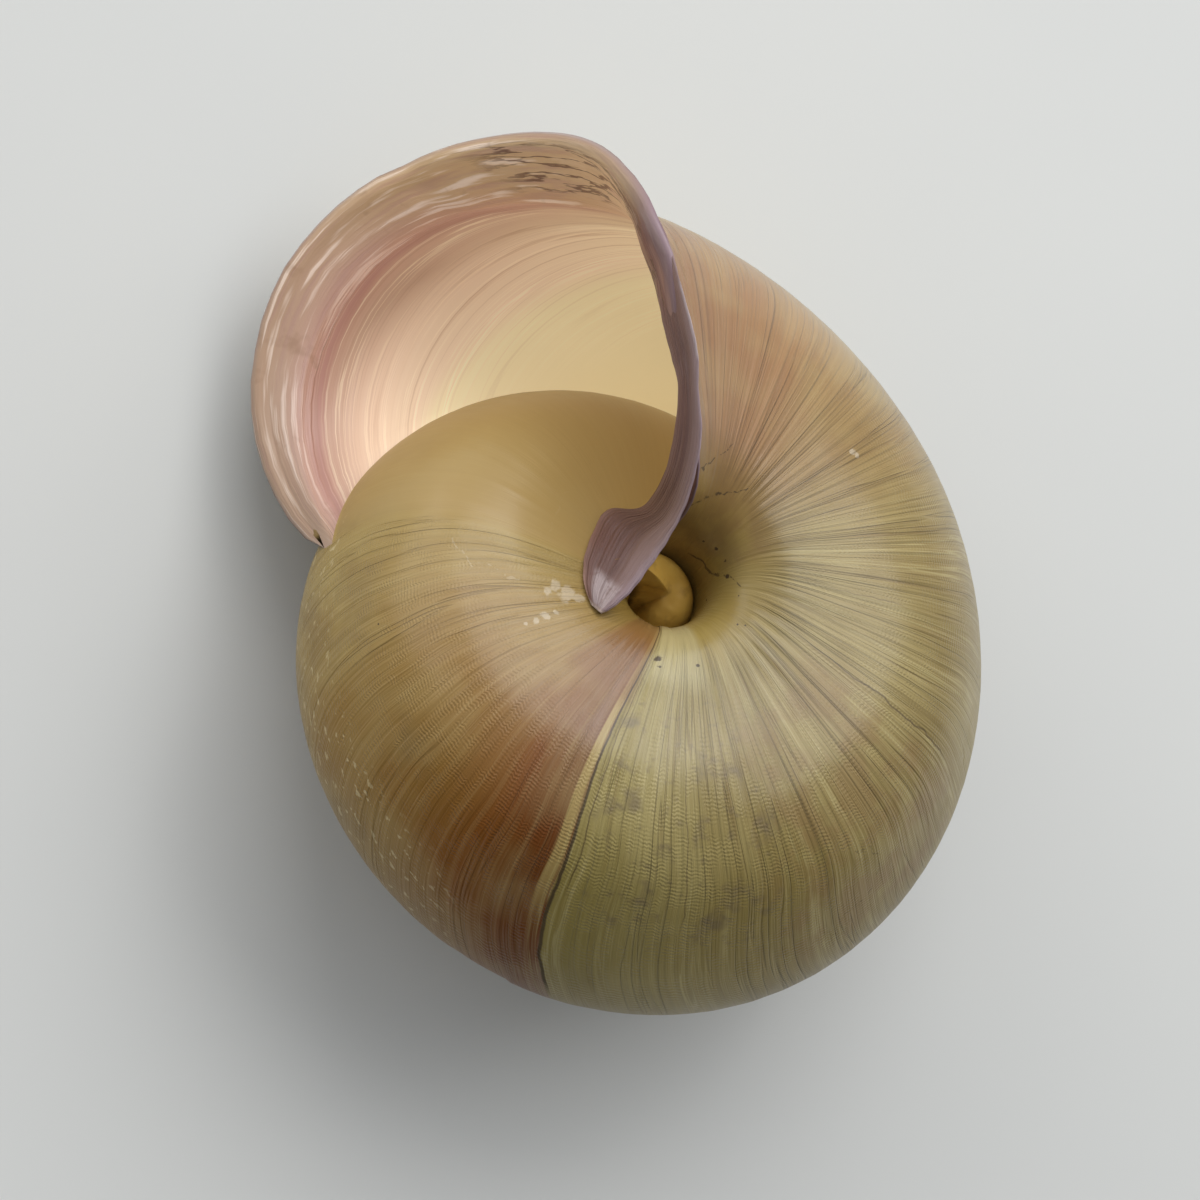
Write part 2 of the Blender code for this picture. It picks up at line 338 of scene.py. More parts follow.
class ShaderTree(Tree):
    """A shader node tree."""

    def place(self) -> Socket:
        """Place on the piece."""
        return self.add("ShaderNodeTexCoord").outputs["Object"]

    def blend(self, factor: Value, under: Value, over: Value, kind: str = "MIX") -> Socket:
        """One colour over another.

        Args:
            factor: How much of the upper colour shows.
            under: The lower colour.
            over: The upper colour.
            kind: How they are combined.

        Returns:
            The combined colour's socket.
        """
        node = self.add("ShaderNodeMix", {0: factor, 6: under, 7: over}, data_type="RGBA", blend_type=kind)
        return node.outputs[2]

    def tint(self, colour: Value, shade: Value, *masks: Value) -> Socket:
        """A colour with a shade laid over it where every mask lets it show.

        Args:
            colour: The colour so far.
            shade: The shade.
            *masks: Masks and strengths, which are multiplied.

        Returns:
            The new colour's socket.
        """
        return self.blend(self.times(*masks), colour, shade)

    def ramp(self, value: Value, stops: Stops) -> Socket:
        """Colours along a value.

        Args:
            value: What picks the colour.
            stops: Pairs of a value and its colour, in rising order.

        Returns:
            The colour's socket.
        """
        low, high = stops[0][0], stops[-1][0]
        part = self.add("ShaderNodeMapRange", {0: value, 1: low, 2: high, 3: 0.0, 4: 1.0}).outputs[0]
        node = self.add("ShaderNodeValToRGB", {0: part})
        line = node.color_ramp
        line.elements[0].color = stops[0][1]
        line.elements[1].color = stops[-1][1]
        for place, colour in stops[1:-1]:
            line.elements.new((place - low) / (high - low)).color = colour
        return node.outputs[0]

    def group(self, made: bpy.types.NodeTree, inputs: dict[str, Value]) -> bpy.types.Node:
        """Place a node group.

        Args:
            made: The group.
            inputs: Values or sockets for its inputs.

        Returns:
            The group's node.
        """
        node = self.tree.nodes.new("ShaderNodeGroup")
        node.node_tree = made
        for name, value in inputs.items():
            self.feed(node.inputs[name], value)
        return node

    def end(self, **results: Socket) -> bpy.types.NodeTree:
        """Give a node group its outputs, which are all numbers.

        Args:
            **results: What feeds each output, by the output's name.

        Returns:
            The finished group.
        """
        for name in results:
            self.tree.interface.new_socket(name, in_out="OUTPUT", socket_type="NodeSocketFloat")
        ends = self.tree.nodes.new("NodeGroupOutput").inputs
        for name, result in results.items():
            self.feed(ends[name], result)
        return self.tree


def new_group(name: str, inputs: dict[str, float | tuple]) -> tuple[ShaderTree, bpy.types.bpy_prop_collection]:
    """An empty shader node group.

    Args:
        name: The group's name.
        inputs: The first value of each input, by name: a number, or a tuple for a vector.

    Returns:
        The group's tree, and the sockets that its inputs come from.
    """
    made = bpy.data.node_groups.new(name, "ShaderNodeTree")
    for key, value in inputs.items():
        kind = "NodeSocketVector" if isinstance(value, tuple) else "NodeSocketFloat"
        made.interface.new_socket(key, in_out="INPUT", socket_type=kind).default_value = value
    return ShaderTree(made), made.nodes.new("NodeGroupInput").outputs


@dataclass(frozen=True)
class SharedEffects:
    """Shader groups that several of the shell's finishes use."""

    lines: bpy.types.NodeTree
    striae: bpy.types.NodeTree
    smudge: bpy.types.NodeTree
    crack: bpy.types.NodeTree
    path: bpy.types.NodeTree
    spot: bpy.types.NodeTree

    @staticmethod
    def build() -> "SharedEffects":
        """Make the groups once, for all materials."""
        return SharedEffects(SharedEffects.growth_lines(), SharedEffects.spiral_striae(),
                             SharedEffects.soft_smudge(), SharedEffects.hair_crack(),
                             SharedEffects.short_path(), SharedEffects.round_spot())

    @staticmethod
    def growth_lines() -> bpy.types.NodeTree:
        """Irregular lines across the whorl, as the lip left them.

        Returns:
            A group whose Height is the relief, and whose Dark and Pale are thin lines.
        """
        tree, given = new_group("growth_lines", {"Growth": 0.0, "Share": 0.0, "Spacing": 2.0})
        turned = tree.math("DIVIDE", given["Growth"], given["Spacing"])
        broad, middle, thin = (tree.stretched(turned, fine, given["Share"], split, 1.5, 0.55, shift)
                               for fine, split, shift in ((0.35, 0.9, 0.0), (1.0, 2.0, 7.3), (2.7, 4.5, 14.6)))
        coarse = tree.scaled(broad, 0.45, tree.times(middle, 0.35))
        dark = tree.near(middle, 0.5, 0.035, 0.004)
        pale = tree.near(thin, 0.57, 0.06, 0.01)
        return tree.end(Height=tree.scaled(thin, 0.2, coarse),
                        Dark=tree.times(dark, tree.rise(broad, 0.42, 0.62)),
                        Pale=tree.times(pale, tree.rise(broad, 0.56, 0.4)))

    @staticmethod
    def spiral_striae() -> bpy.types.NodeTree:
        """Very fine lines along the whorl, broken here and there.

        Returns:
            A group whose Height is the relief.
        """
        tree, given = new_group("spiral_striae", {"Growth": 0.0, "Share": 0.0, "Count": 170.0})
        wander = tree.stretched(given["Growth"], 0.7, given["Share"], 14.0)
        phase = tree.scaled(given["Share"], given["Count"], tree.times(wander, 2.4))
        wave = tree.math("SINE", tree.times(phase, math.tau))
        broken = tree.stretched(given["Growth"], 0.35, given["Share"], 26.0)
        return tree.end(Height=tree.times(wave, tree.rise(broken, 0.36, 0.62)))

    @staticmethod
    def soft_smudge() -> bpy.types.NodeTree:
        """Soft irregular patches.

        Returns:
            A group whose Mask is 1 in the patches.
        """
        tree, given = new_group("soft_smudge", {"Vector": ORIGIN, "Scale": 600.0, "Cover": 0.5})
        level = tree.noise(given["Vector"], given["Scale"], 3.0, 0.62)
        edge = tree.minus(0.82, tree.times(given["Cover"], 0.6))
        return tree.end(Mask=tree.times(tree.minus(level, edge), 7.0, clamp=True))

    @staticmethod
    def hair_crack() -> bpy.types.NodeTree:
        """A wavering hair line where the growth has one value, between two shares.

        Returns:
            A group whose Mask is 1 in the line.
        """
        tree, given = new_group("hair_crack", {"Growth": 0.0, "Share": 0.0, "At": 0.0, "Half Width": 0.3,
                                               "From": 0.0, "To": 1.0, "Waver": 2.0})
        wander = tree.noise(tree.join(tree.times(given["Share"], 11.0), given["At"]), 1.0, 3.0, 0.6)
        shift = tree.times(tree.minus(wander, 0.5), given["Waver"])
        away = tree.minus(tree.minus(given["Growth"], given["At"]), shift)
        line = tree.rise(tree.math("DIVIDE", tree.math("ABSOLUTE", away), given["Half Width"]), 1.0, 0.35)
        start = tree.times(tree.minus(given["Share"], given["From"]), 25.0, clamp=True)
        stop = tree.times(tree.minus(given["To"], given["Share"]), 25.0, clamp=True)
        return tree.end(Mask=tree.times(line, tree.times(start, stop)))

    @staticmethod
    def short_path() -> bpy.types.NodeTree:
        """An uneven line from one place to another.

        Returns:
            A group whose Mask is 1 in the line.
        """
        tree, given = new_group("short_path", {"Vector": ORIGIN, "From": ORIGIN, "To": ORIGIN,
                                               "Half Width": 0.1 * MM})
        rough = tree.add("ShaderNodeTexNoise", {"Vector": given["Vector"], "Scale": 1900.0, "Detail": 3.0})
        centred = tree.vector("SUBTRACT", rough.outputs["Color"], (0.5, 0.5, 0.5))
        shaken = tree.vector("MULTIPLY_ADD", centred, (0.6 * MM, 0.6 * MM, 0.6 * MM), given["Vector"])
        here = tree.vector("SUBTRACT", shaken, given["From"])
        whole = tree.vector("SUBTRACT", given["To"], given["From"])
        passed = tree.math("DIVIDE", tree.vector("DOT_PRODUCT", here, whole),
                           tree.vector("DOT_PRODUCT", whole, whole), clamp=True)
        far = tree.vector("DISTANCE", here, tree.vector("SCALE", whole, scale=passed))
        return tree.end(Mask=tree.rise(tree.math("DIVIDE", far, given["Half Width"]), 1.0, 0.4))

    @staticmethod
    def round_spot() -> bpy.types.NodeTree:
        """A small uneven spot round one place.

        Returns:
            A group whose Mask is 1 in the spot.
        """
        tree, given = new_group("round_spot", {"Vector": ORIGIN, "Place": ORIGIN, "Radius": 0.5 * MM})
        rough = tree.noise(given["Vector"], 2600.0, 3.0, 0.6)
        uneven = tree.math("MAXIMUM", tree.scaled(tree.minus(rough, 0.5), 3.0, 1.0), 0.2)
        far = tree.vector("DISTANCE", given["Vector"], given["Place"])
        near = tree.math("DIVIDE", far, tree.times(given["Radius"], uneven))
        return tree.end(Mask=tree.rise(near, 1.0, 0.55))


# The rule that the shell grows by


@dataclass(frozen=True)
class GrowthRule:
    """The coil that the shell follows, with its sizes as they are at age 0."""

    whorl_growth: float = 1.443
    coil_radius: float = 10.45 * MM
    coil_drop: float = 13.36 * MM
    lean: tuple[float, float] = (-0.078, 0.025)
    tube_radius: float = 7.45 * MM
    waves: tuple[tuple[int, float, float], ...] = ((2, 0.40 * MM, -1.40 * MM), (3, -0.48 * MM, -0.04 * MM),
                                                   (4, -0.07 * MM, 0.02 * MM))
    bulges: tuple[tuple[float, float, float], ...] = ((141.3, 1.53 * MM, 18.3), (206.4, 1.12 * MM, 27.6))
    wall: float = 0.45 * MM
    last_stretch: float = 92.0
    last_swell: float = 0.10
    last_drop: float = 0.48 * MM
    lip_azimuth: float = 126.6
    rest_tilt: float = 20.4
    rest_side: float = 79.5
    rest_place: tuple[float, float, float] = (-0.41564 * MM, -6.29974 * MM, 0.00189 * MM)
    bend: tuple[float, ...] = (-16.0, -11.0, -6.0, -0.2, 2.4, 3.4, 5.4, 6.4, 4.8, -1.5, -5.0)
    suture_search: tuple[float, float] = (-20.0, -170.0)
    umbilicus_search: tuple[float, float] = (110.0, 240.0)
    halvings: int = 34
    table: tuple[float, float, int] = (-440.0, 60.0, 1001)

    def late(self, age: np.ndarray) -> np.ndarray:
        """How far the last quarter turn has left the coil's own line; it is flat past a limit."""
        return np.clip((np.asarray(age, float) + self.last_stretch) / self.last_stretch, 0.0, LATE_LIMIT) ** 2

    def size(self, age: np.ndarray) -> np.ndarray:
        """Size of the tube at an age, as a share of its size at age 0."""
        return self.whorl_growth ** (np.asarray(age, float) / TURN) * (1.0 + self.last_swell * self.late(age))

    def middle(self, age: np.ndarray) -> tuple[np.ndarray, np.ndarray]:
        """Distance from the axis and depth below the apex of the tube's middle."""
        size = self.size(age)
        return size * self.coil_radius, size * self.coil_drop + self.last_drop * self.late(age)

    def reach(self, angle: np.ndarray) -> np.ndarray:
        """Distance from the tube's middle to its wall, at age 0, in a direction of the section."""
        reach = self.tube_radius + 0.0 * angle
        for order, cosine, sine in self.waves:
            reach = reach + cosine * np.cos(order * angle) + sine * np.sin(order * angle)
        for middle, height, width in self.bulges:
            away = (np.degrees(angle) - middle + TURN / 2) % TURN - TURN / 2
            reach = reach + height * np.exp(-(away / width) ** 2)
        return reach

    def section(self, age: np.ndarray, angle: np.ndarray, inset: np.ndarray) -> tuple[np.ndarray, np.ndarray]:
        """Distance from the axis and depth of a point this far inside the tube's wall."""
        radius, depth = self.middle(age)
        span = self.size(age) * self.reach(angle) - inset
        return radius + span * np.cos(angle), depth + span * np.sin(angle)

    def on_whorl_before(self, age: np.ndarray, radius: np.ndarray,
                        depth: np.ndarray) -> tuple[np.ndarray, np.ndarray]:
        """Direction of a point from the middle of the whorl before, and its height above that wall."""
        middle_radius, middle_depth = self.middle(age - TURN)
        angle = np.arctan2(depth - middle_depth, radius - middle_radius)
        far = np.hypot(radius - middle_radius, depth - middle_depth)
        return angle, far - self.size(age - TURN) * self.reach(angle)

    def seam(self, age: np.ndarray, inset: float, free_angle: float, buried_angle: float) -> np.ndarray:
        """Direction in which the tube's wall meets the whorl before.

        Args:
            age: Ages of the sections.
            inset: How far inside the wall the seam is looked for.
            free_angle: A direction, in degrees, in which the wall is clear of the whorl before.
            buried_angle: A direction in which it would lie inside the whorl before.

        Returns:
            The directions, in radians.
        """
        free = np.full(np.shape(age), math.radians(free_angle))
        buried = np.full(np.shape(age), math.radians(buried_angle))
        for _ in range(self.halvings):
            middle = (free + buried) / 2
            height = self.on_whorl_before(age, *self.section(age, middle, inset))[1]
            free = np.where(height > 0, middle, free)
            buried = np.where(height > 0, buried, middle)
        return (free + buried) / 2

    def found_seams(self, age: np.ndarray, inset: np.ndarray) -> tuple[np.ndarray, np.ndarray]:
        """Directions of the suture and of the seam inside the umbilicus, found by halving."""
        return self.seam(age, inset, *self.suture_search), self.seam(age, inset, *self.umbilicus_search)

    @cached_property
    def seam_table(self) -> tuple[np.ndarray, dict[float, tuple[np.ndarray, np.ndarray]]]:
        """Both seams' directions at a row of ages, for the wall's outer and inner faces."""
        ages = np.linspace(*self.table)
        return ages, {inset: self.found_seams(ages, inset) for inset in (0.0, self.wall)}

    def seams(self, age: np.ndarray, inset: float = 0.0) -> tuple[np.ndarray, np.ndarray]:
        """Directions of the suture and of the seam inside the umbilicus.

        Args:
            age: Ages of the sections; before the table's first age the whorls are alike.
            inset: 0 for the wall's outer face, or its thickness for the inner one.

        Returns:
            Both directions, in radians.
        """
        ages, known = self.seam_table
        return np.interp(age, ages, known[inset][0]), np.interp(age, ages, known[inset][1])

    def seam_shares(self, age: float) -> list[float]:
        """Shares at which the next whorl's outer and inner faces meet the wall of this age."""
        start, end = self.seams(age)
        shares = []
        for which, inset in ((0, 0.0), (0, self.wall), (1, self.wall), (1, 0.0)):
            later = age + TURN
            angle = self.on_whorl_before(later, *self.section(later, self.seams(later, inset)[which], inset))[0]
            shares.append(float((angle - start) / (end - start)))
        return shares

    def in_space(self, age: np.ndarray, radius: np.ndarray, depth: np.ndarray) -> np.ndarray:
        """Points of the coil's frame from their age, distance from the axis and depth."""
        azimuth = np.radians(self.lip_azimuth + age)
        return np.stack([radius * np.cos(azimuth) + self.lean[0] * depth,
                         radius * np.sin(azimuth) + self.lean[1] * depth, depth], axis=-1)

    def point(self, age: float, share: float) -> Vector:
        """A point of the outer wall, as the shell lies."""
        start, end = self.seams(np.float64(age))
        place = self.in_space(age, *self.section(np.float64(age), start + share * (end - start), 0.0))
        return self.to_rest() @ Vector(place)

    def to_rest(self) -> Matrix:
        """Turn and shift from the coil's frame to the way the shell lies."""
        side = math.radians(self.rest_side)
        axis = Vector((-math.sin(side), math.cos(side), 0.0))
        return Matrix.Translation(self.rest_place) @ Matrix.Rotation(math.radians(self.rest_tilt), 4, axis)


@dataclass(frozen=True)
class Lip:
    """The lip's edge and its flared band."""

    start_age: float = -42.0
    end_age: float = 38.0
    oldest_age: float = -25.0
    outer_share: float = 0.62
    inner_share: float = 0.74
    outer_curve: float = 2.4
    inner_curve: float = 5.0
    band: float = 3.0 * MM
    flare: float = 2.2 * MM
    thickness: float = 1.0 * MM
    pillar_thickness: float = 2.3 * MM
    pillar_shares: tuple[float, float] = (0.50, 0.68)
    nose: float = 0.3 * MM
    band_end_share: float = 0.81
    band_fade_share: float = 0.15
    memory: float = 150.0
    end_power: float = 0.35
    waves: tuple[tuple[float, float, float], ...] = ((0.5, 37.0, 1.0), (0.35, 83.0, 0.0), (0.25, 171.0, 2.0))
    wave_height: float = 0.28
    chips: tuple[tuple[float, float, float], ...] = ((0.655, 1.5, 0.006), (0.685, 1.1, 0.008), (0.28, 0.8, 0.01))

    def age(self, share: np.ndarray) -> np.ndarray:
        """Age of the lip's edge across the wall: oldest at the base, equal at both seams."""
        outer = np.clip((self.outer_share - share) / self.outer_share, 0.0, 1.0)
        inner = np.clip((share - self.inner_share) / (1.0 - self.inner_share), 0.0, 1.0)
        rise = outer ** self.outer_curve + inner ** self.inner_curve
        return self.oldest_age + (self.end_age - self.oldest_age) * rise

    def fade(self, share: np.ndarray) -> np.ndarray:
        """1 along the lip, falling to 0 at both of its ends."""
        return np.clip(np.sin(math.pi * share), 0.0, 1.0) ** self.end_power

    def strength(self, share: np.ndarray) -> np.ndarray:
        """1 along most of the lip's band, falling to 0 at the suture and before the fold."""
        return self.fade(share) * eased((self.band_end_share - share) / self.band_fade_share)

    def edge_thickness(self, share: np.ndarray, wall: float) -> np.ndarray:
        """Thickness of the lip's edge, which is greater on the side of the umbilicus."""
        start, end = self.pillar_shares
        more = (self.pillar_thickness - self.thickness) * eased((share - start) / (end - start))
        return wall + (self.thickness - wall + more) * self.strength(share)

    def band_age(self, share: np.ndarray, radius: float) -> np.ndarray:
        """Age at which the flared band begins, where the whorl is this wide."""
        return self.age(share) - np.degrees(self.band / radius) * self.fade(share)

    def growth(self, age: np.ndarray, share: np.ndarray, bend: tuple[float, ...]) -> np.ndarray:
        """Growth at places of the wall: one value along each line that the lip once left.

        Args:
            age: Age of each place.
            share: Its share across the wall.
            bend: How far, in degrees, the old lines lie behind an even one at even shares.

        Returns:
            The growth, which runs with the age and has one value along the lip's edge.
        """
        lead = self.age(share)
        near = 1.0 - eased((lead - age) / self.memory)
        bent = through(np.array(bend)[:, None], share)[:, 0]
        return age + (1.0 - near) * bent + near * (self.oldest_age - lead)

    def wobble(self, share: np.ndarray) -> np.ndarray:
        """Small unevenness and chips of the edge, in degrees of age."""
        waves = sum(height * np.sin(order * share + start) for height, order, start in self.waves)
        chips = sum(depth * np.exp(-((share - place) / width) ** 2) for place, depth, width in self.chips)
        return (self.wave_height * waves - chips) * self.fade(share)


# The coil's mesh


@dataclass
class Ring:
    """One ring of vertices across the wall, with the marks of each of its places."""

    ids: list[int]
    marks: np.ndarray

    def corner(self, place: int) -> Corner:
        """Vertex and marks of one of its places."""
        return self.ids[place], tuple(self.marks[place])


@dataclass
class CoilMesh:
    """The shell's faces before the growth rule places them, kept as plain lists."""

    columns: dict[str, list[np.ndarray]] = field(
        default_factory=lambda: {"age": [], "angle": [], "inset": [], "relief": []})
    count: int = 0
    faces: list[tuple[int, ...]] = field(default_factory=list)
    corners: list[tuple[float, float, float]] = field(default_factory=list)
    depths: list[float] = field(default_factory=list)
    walls: list[int] = field(default_factory=list)

    def places(self, rule: GrowthRule, ids: list[int]) -> np.ndarray:
        """Places in the coil's frame of ring vertices.

        Args:
            rule: The growth rule.
            ids: Their numbers.

        Returns:
            One place in each row.
        """
        age, angle, inset = (np.concatenate(self.columns[key])[ids] for key in ("age", "angle", "inset"))
        return rule.in_space(age, *rule.section(age, angle, inset))

    def ring(self, age: np.ndarray, angle: np.ndarray, inset: np.ndarray, relief: np.ndarray,
             marks: np.ndarray, ends: tuple[int, int] | None) -> Ring:
        """Add the vertices of a ring.

        Args:
            age: Age of each vertex.
            angle: Direction of each vertex in its section.
            inset: How far each lies inside the wall's outer face.
            relief: How strong the growth relief is at each.
            marks: Growth, share and way round the lip of each.
            ends: Vertices that exist already and stand for the first and the last.

        Returns:
            The ring.
        """
        ids = list(range(self.count, self.count + len(age)))
        self.count += len(age)
        for key, added in (("age", age), ("angle", angle), ("inset", inset), ("relief", relief)):
            self.columns[key].append(added)
        if ends is not None:
            ids[0], ids[-1] = ends
        return Ring(ids, marks)

    def face(self, corners: list[Corner], wall: Wall, depth: float = 0.0) -> None:
        """Add a face, each vertex taken once, unless fewer than three are left.

        Args:
            corners: Vertex and marks of each corner.
            wall: The wall that it belongs to.
            depth: How far inside the mouth it lies, in millimetres.
        """
        kept = list({number: marks for number, marks in reversed(corners)}.items())[::-1]
        if len(kept) > 2:
            self.faces.append(tuple(number for number, _ in kept))
            self.corners.extend(marks for _, marks in kept)
            self.depths.extend(depth for _ in kept)
            self.walls.append(wall.value)

    def skin(self, first: Ring, second: Ring, cells: range, wall: Wall, depth: float = 0.0) -> None:
        """Faces between two neighbouring rings.

        Args:
            first: One ring.
            second: The ring after it.
            cells: Numbers of the cells that get a face.
            wall: The wall that they belong to.
            depth: How far inside the mouth they lie, in millimetres.
        """
        for cell in cells:
            self.face([first.corner(cell), second.corner(cell), second.corner(cell + 1), first.corner(cell + 1)],
                      wall, depth)

    def to_object(self, name: str, extra: list[Vector]) -> bpy.types.Object:
        """An object with these faces, whose attributes the growth rule reads.

        Args:
            name: The object's name.
            extra: Places of further vertices that don't follow the rule, numbered after the rings'.

        Returns:
            The object, linked to the scene.
        """
        mesh = bpy.data.meshes.new(name)
        places = np.zeros((self.count + len(extra), 3))
        places[self.count:] = [tuple(place) for place in extra]
        used = np.unique(np.concatenate([np.array(face) for face in self.faces]))
        number = np.full(len(places), -1)
        number[used] = np.arange(len(used))
        mesh.from_pydata(places[used].tolist(), [], [tuple(number[list(face)].tolist()) for face in self.faces])
        rest = np.zeros(len(extra))
        for key, parts in self.columns.items():
            store(mesh, key, "FLOAT", "POINT", np.concatenate([*parts, rest])[used])
        store(mesh, "ruled", "FLOAT", "POINT", used < self.count)
        store(mesh, "growth", "FLOAT_VECTOR", "CORNER", self.corners)
        store(mesh, "mouth", "FLOAT", "CORNER", self.depths)
        store(mesh, "wall", "INT", "FACE", self.walls)
        return new_object(name, mesh)


def coil_tree() -> bpy.types.NodeTree:
    """Geometry nodes that place the coil's vertices by the growth rule.

    Returns:
        A tree that reads each vertex's age, angle, reach and inset, moves it to its place on the
        coil, raises the growth relief and the ledge of the growth stop, and gives each wall its
        material.
    """
    made = bpy.data.node_groups.new("growing_coil", "GeometryNodeTree")
    made.interface.new_socket("Geometry", in_out="INPUT", socket_type="NodeSocketGeometry")
    for name in ("Whorl Growth", "Coil Radius", "Coil Drop", "Lean X", "Lean Y", "Last Stretch", "Last Swell",
                 "Last Drop", "Lip Azimuth", "Relief Height"):
        made.interface.new_socket(name, in_out="INPUT", socket_type="NodeSocketFloat")
    for kind in Wall:
        made.interface.new_socket(kind.name.title(), in_out="INPUT", socket_type="NodeSocketMaterial")
    made.interface.new_socket("Geometry", in_out="OUTPUT", socket_type="NodeSocketGeometry")
    tree = Tree(made)
    given = made.nodes.new("NodeGroupInput").outputs

    def read(name: str, kind: str = "FLOAT") -> Socket:
        """A named attribute's socket."""
        node = tree.add("GeometryNodeInputNamedAttribute", {"Name": name}, data_type=kind)
        return node.outputs["Attribute"]

    age, angle, inset = read("age"), read("angle"), read("inset")
    part = tree.math("DIVIDE", tree.plus(age, given["Last Stretch"]), given["Last Stretch"])
    part = tree.math("MINIMUM", tree.math("MAXIMUM", part, 0.0), LATE_LIMIT)
    late = tree.times(part, part)
    grown = tree.math("POWER", given["Whorl Growth"], tree.math("DIVIDE", age, TURN))
    size = tree.times(grown, tree.scaled(given["Last Swell"], late, 1.0))
    span = tree.minus(tree.times(size, read("reach")), inset)
    radius = tree.scaled(size, given["Coil Radius"], tree.times(span, tree.math("COSINE", angle)))
    drop = tree.scaled(size, given["Coil Drop"], tree.times(given["Last Drop"], late))
    depth = tree.plus(drop, tree.times(span, tree.math("SINE", angle)))
    azimuth = tree.math("RADIANS", tree.plus(given["Lip Azimuth"], age))
    across = tree.scaled(radius, tree.math("COSINE", azimuth), tree.times(given["Lean X"], depth))
    along = tree.scaled(radius, tree.math("SINE", azimuth), tree.times(given["Lean Y"], depth))
    ruled = tree.math("GREATER_THAN", read("ruled"), 0.5)
    placed = tree.add("GeometryNodeSetPosition", {"Geometry": given["Geometry"], "Selection": ruled,
                                                  "Position": tree.join(across, along, depth)})
    ripple = tree.stretched(age, 0.34, angle, 0.8, 2.0, 0.55)
    lift = tree.times(tree.minus(ripple, 0.5), given["Relief Height"])
    ledge = tree.rise(tree.minus(age, GROWTH_STOP), -0.6, 0.3)
    step = tree.times(tree.minus(ledge, 0.5), LEDGE_HEIGHT)
    lift = tree.plus(lift, tree.times(step, tree.window(age, GROWTH_STOP - 8.5, GROWTH_STOP + 8.5, 5.0)))
    offset = tree.vector("SCALE", tree.add("GeometryNodeInputNormal").outputs[0],
                         scale=tree.times(lift, read("relief")))
    raised = tree.add("GeometryNodeSetPosition", {"Geometry": placed.outputs[0], "Offset": offset})
    smooth = tree.add("GeometryNodeSetShadeSmooth", {"Geometry": raised.outputs[0]})
    geometry = tree.add("GeometryNodeRealizeInstances", {"Geometry": smooth.outputs[0]}).outputs[0]
    wall = read("wall", "INT")
    for kind in Wall:
        chosen = tree.math("COMPARE", wall, float(kind.value), 0.1)
        geometry = tree.add("GeometryNodeSetMaterial", {"Geometry": geometry, "Selection": chosen,
                                                        "Material": given[kind.name.title()]}).outputs[0]
    ends = made.nodes.new("NodeGroupOutput")
    tree.feed(ends.inputs[0], geometry)
    return made


def frozen(source: bpy.types.Object, tree: bpy.types.NodeTree, inputs: dict[str, Value],
           name: str) -> bpy.types.Object:
    """A plain mesh object from an object and a geometry node tree.

    Args:
        source: The object that the tree starts from, which is removed.
        tree: The tree.
        inputs: Values of its named inputs.
        name: Name of the new object.

    Returns:
        The new object, linked to the scene.
    """
    modifier = source.modifiers.new("grown", "NODES")
    modifier.node_group = tree
    for socket in tree.interface.items_tree:
        if socket.in_out == "INPUT" and socket.name in inputs:
            modifier[socket.identifier] = inputs[socket.name]
    bpy.context.view_layer.update()
    mesh = bpy.data.meshes.new_from_object(source.evaluated_get(bpy.context.evaluated_depsgraph_get()))
    source.modifiers.clear()
    bpy.data.objects.remove(source, do_unlink=True)
    mesh.name = name
    return new_object(name, mesh)


def turned_out(mesh: bpy.types.Mesh) -> None:
    """Point all faces of a closed mesh outwards."""
    edited = bmesh.new()
    edited.from_mesh(mesh)
    bmesh.ops.recalc_face_normals(edited, faces=edited.faces[:])
    edited.to_mesh(mesh)
    edited.free()


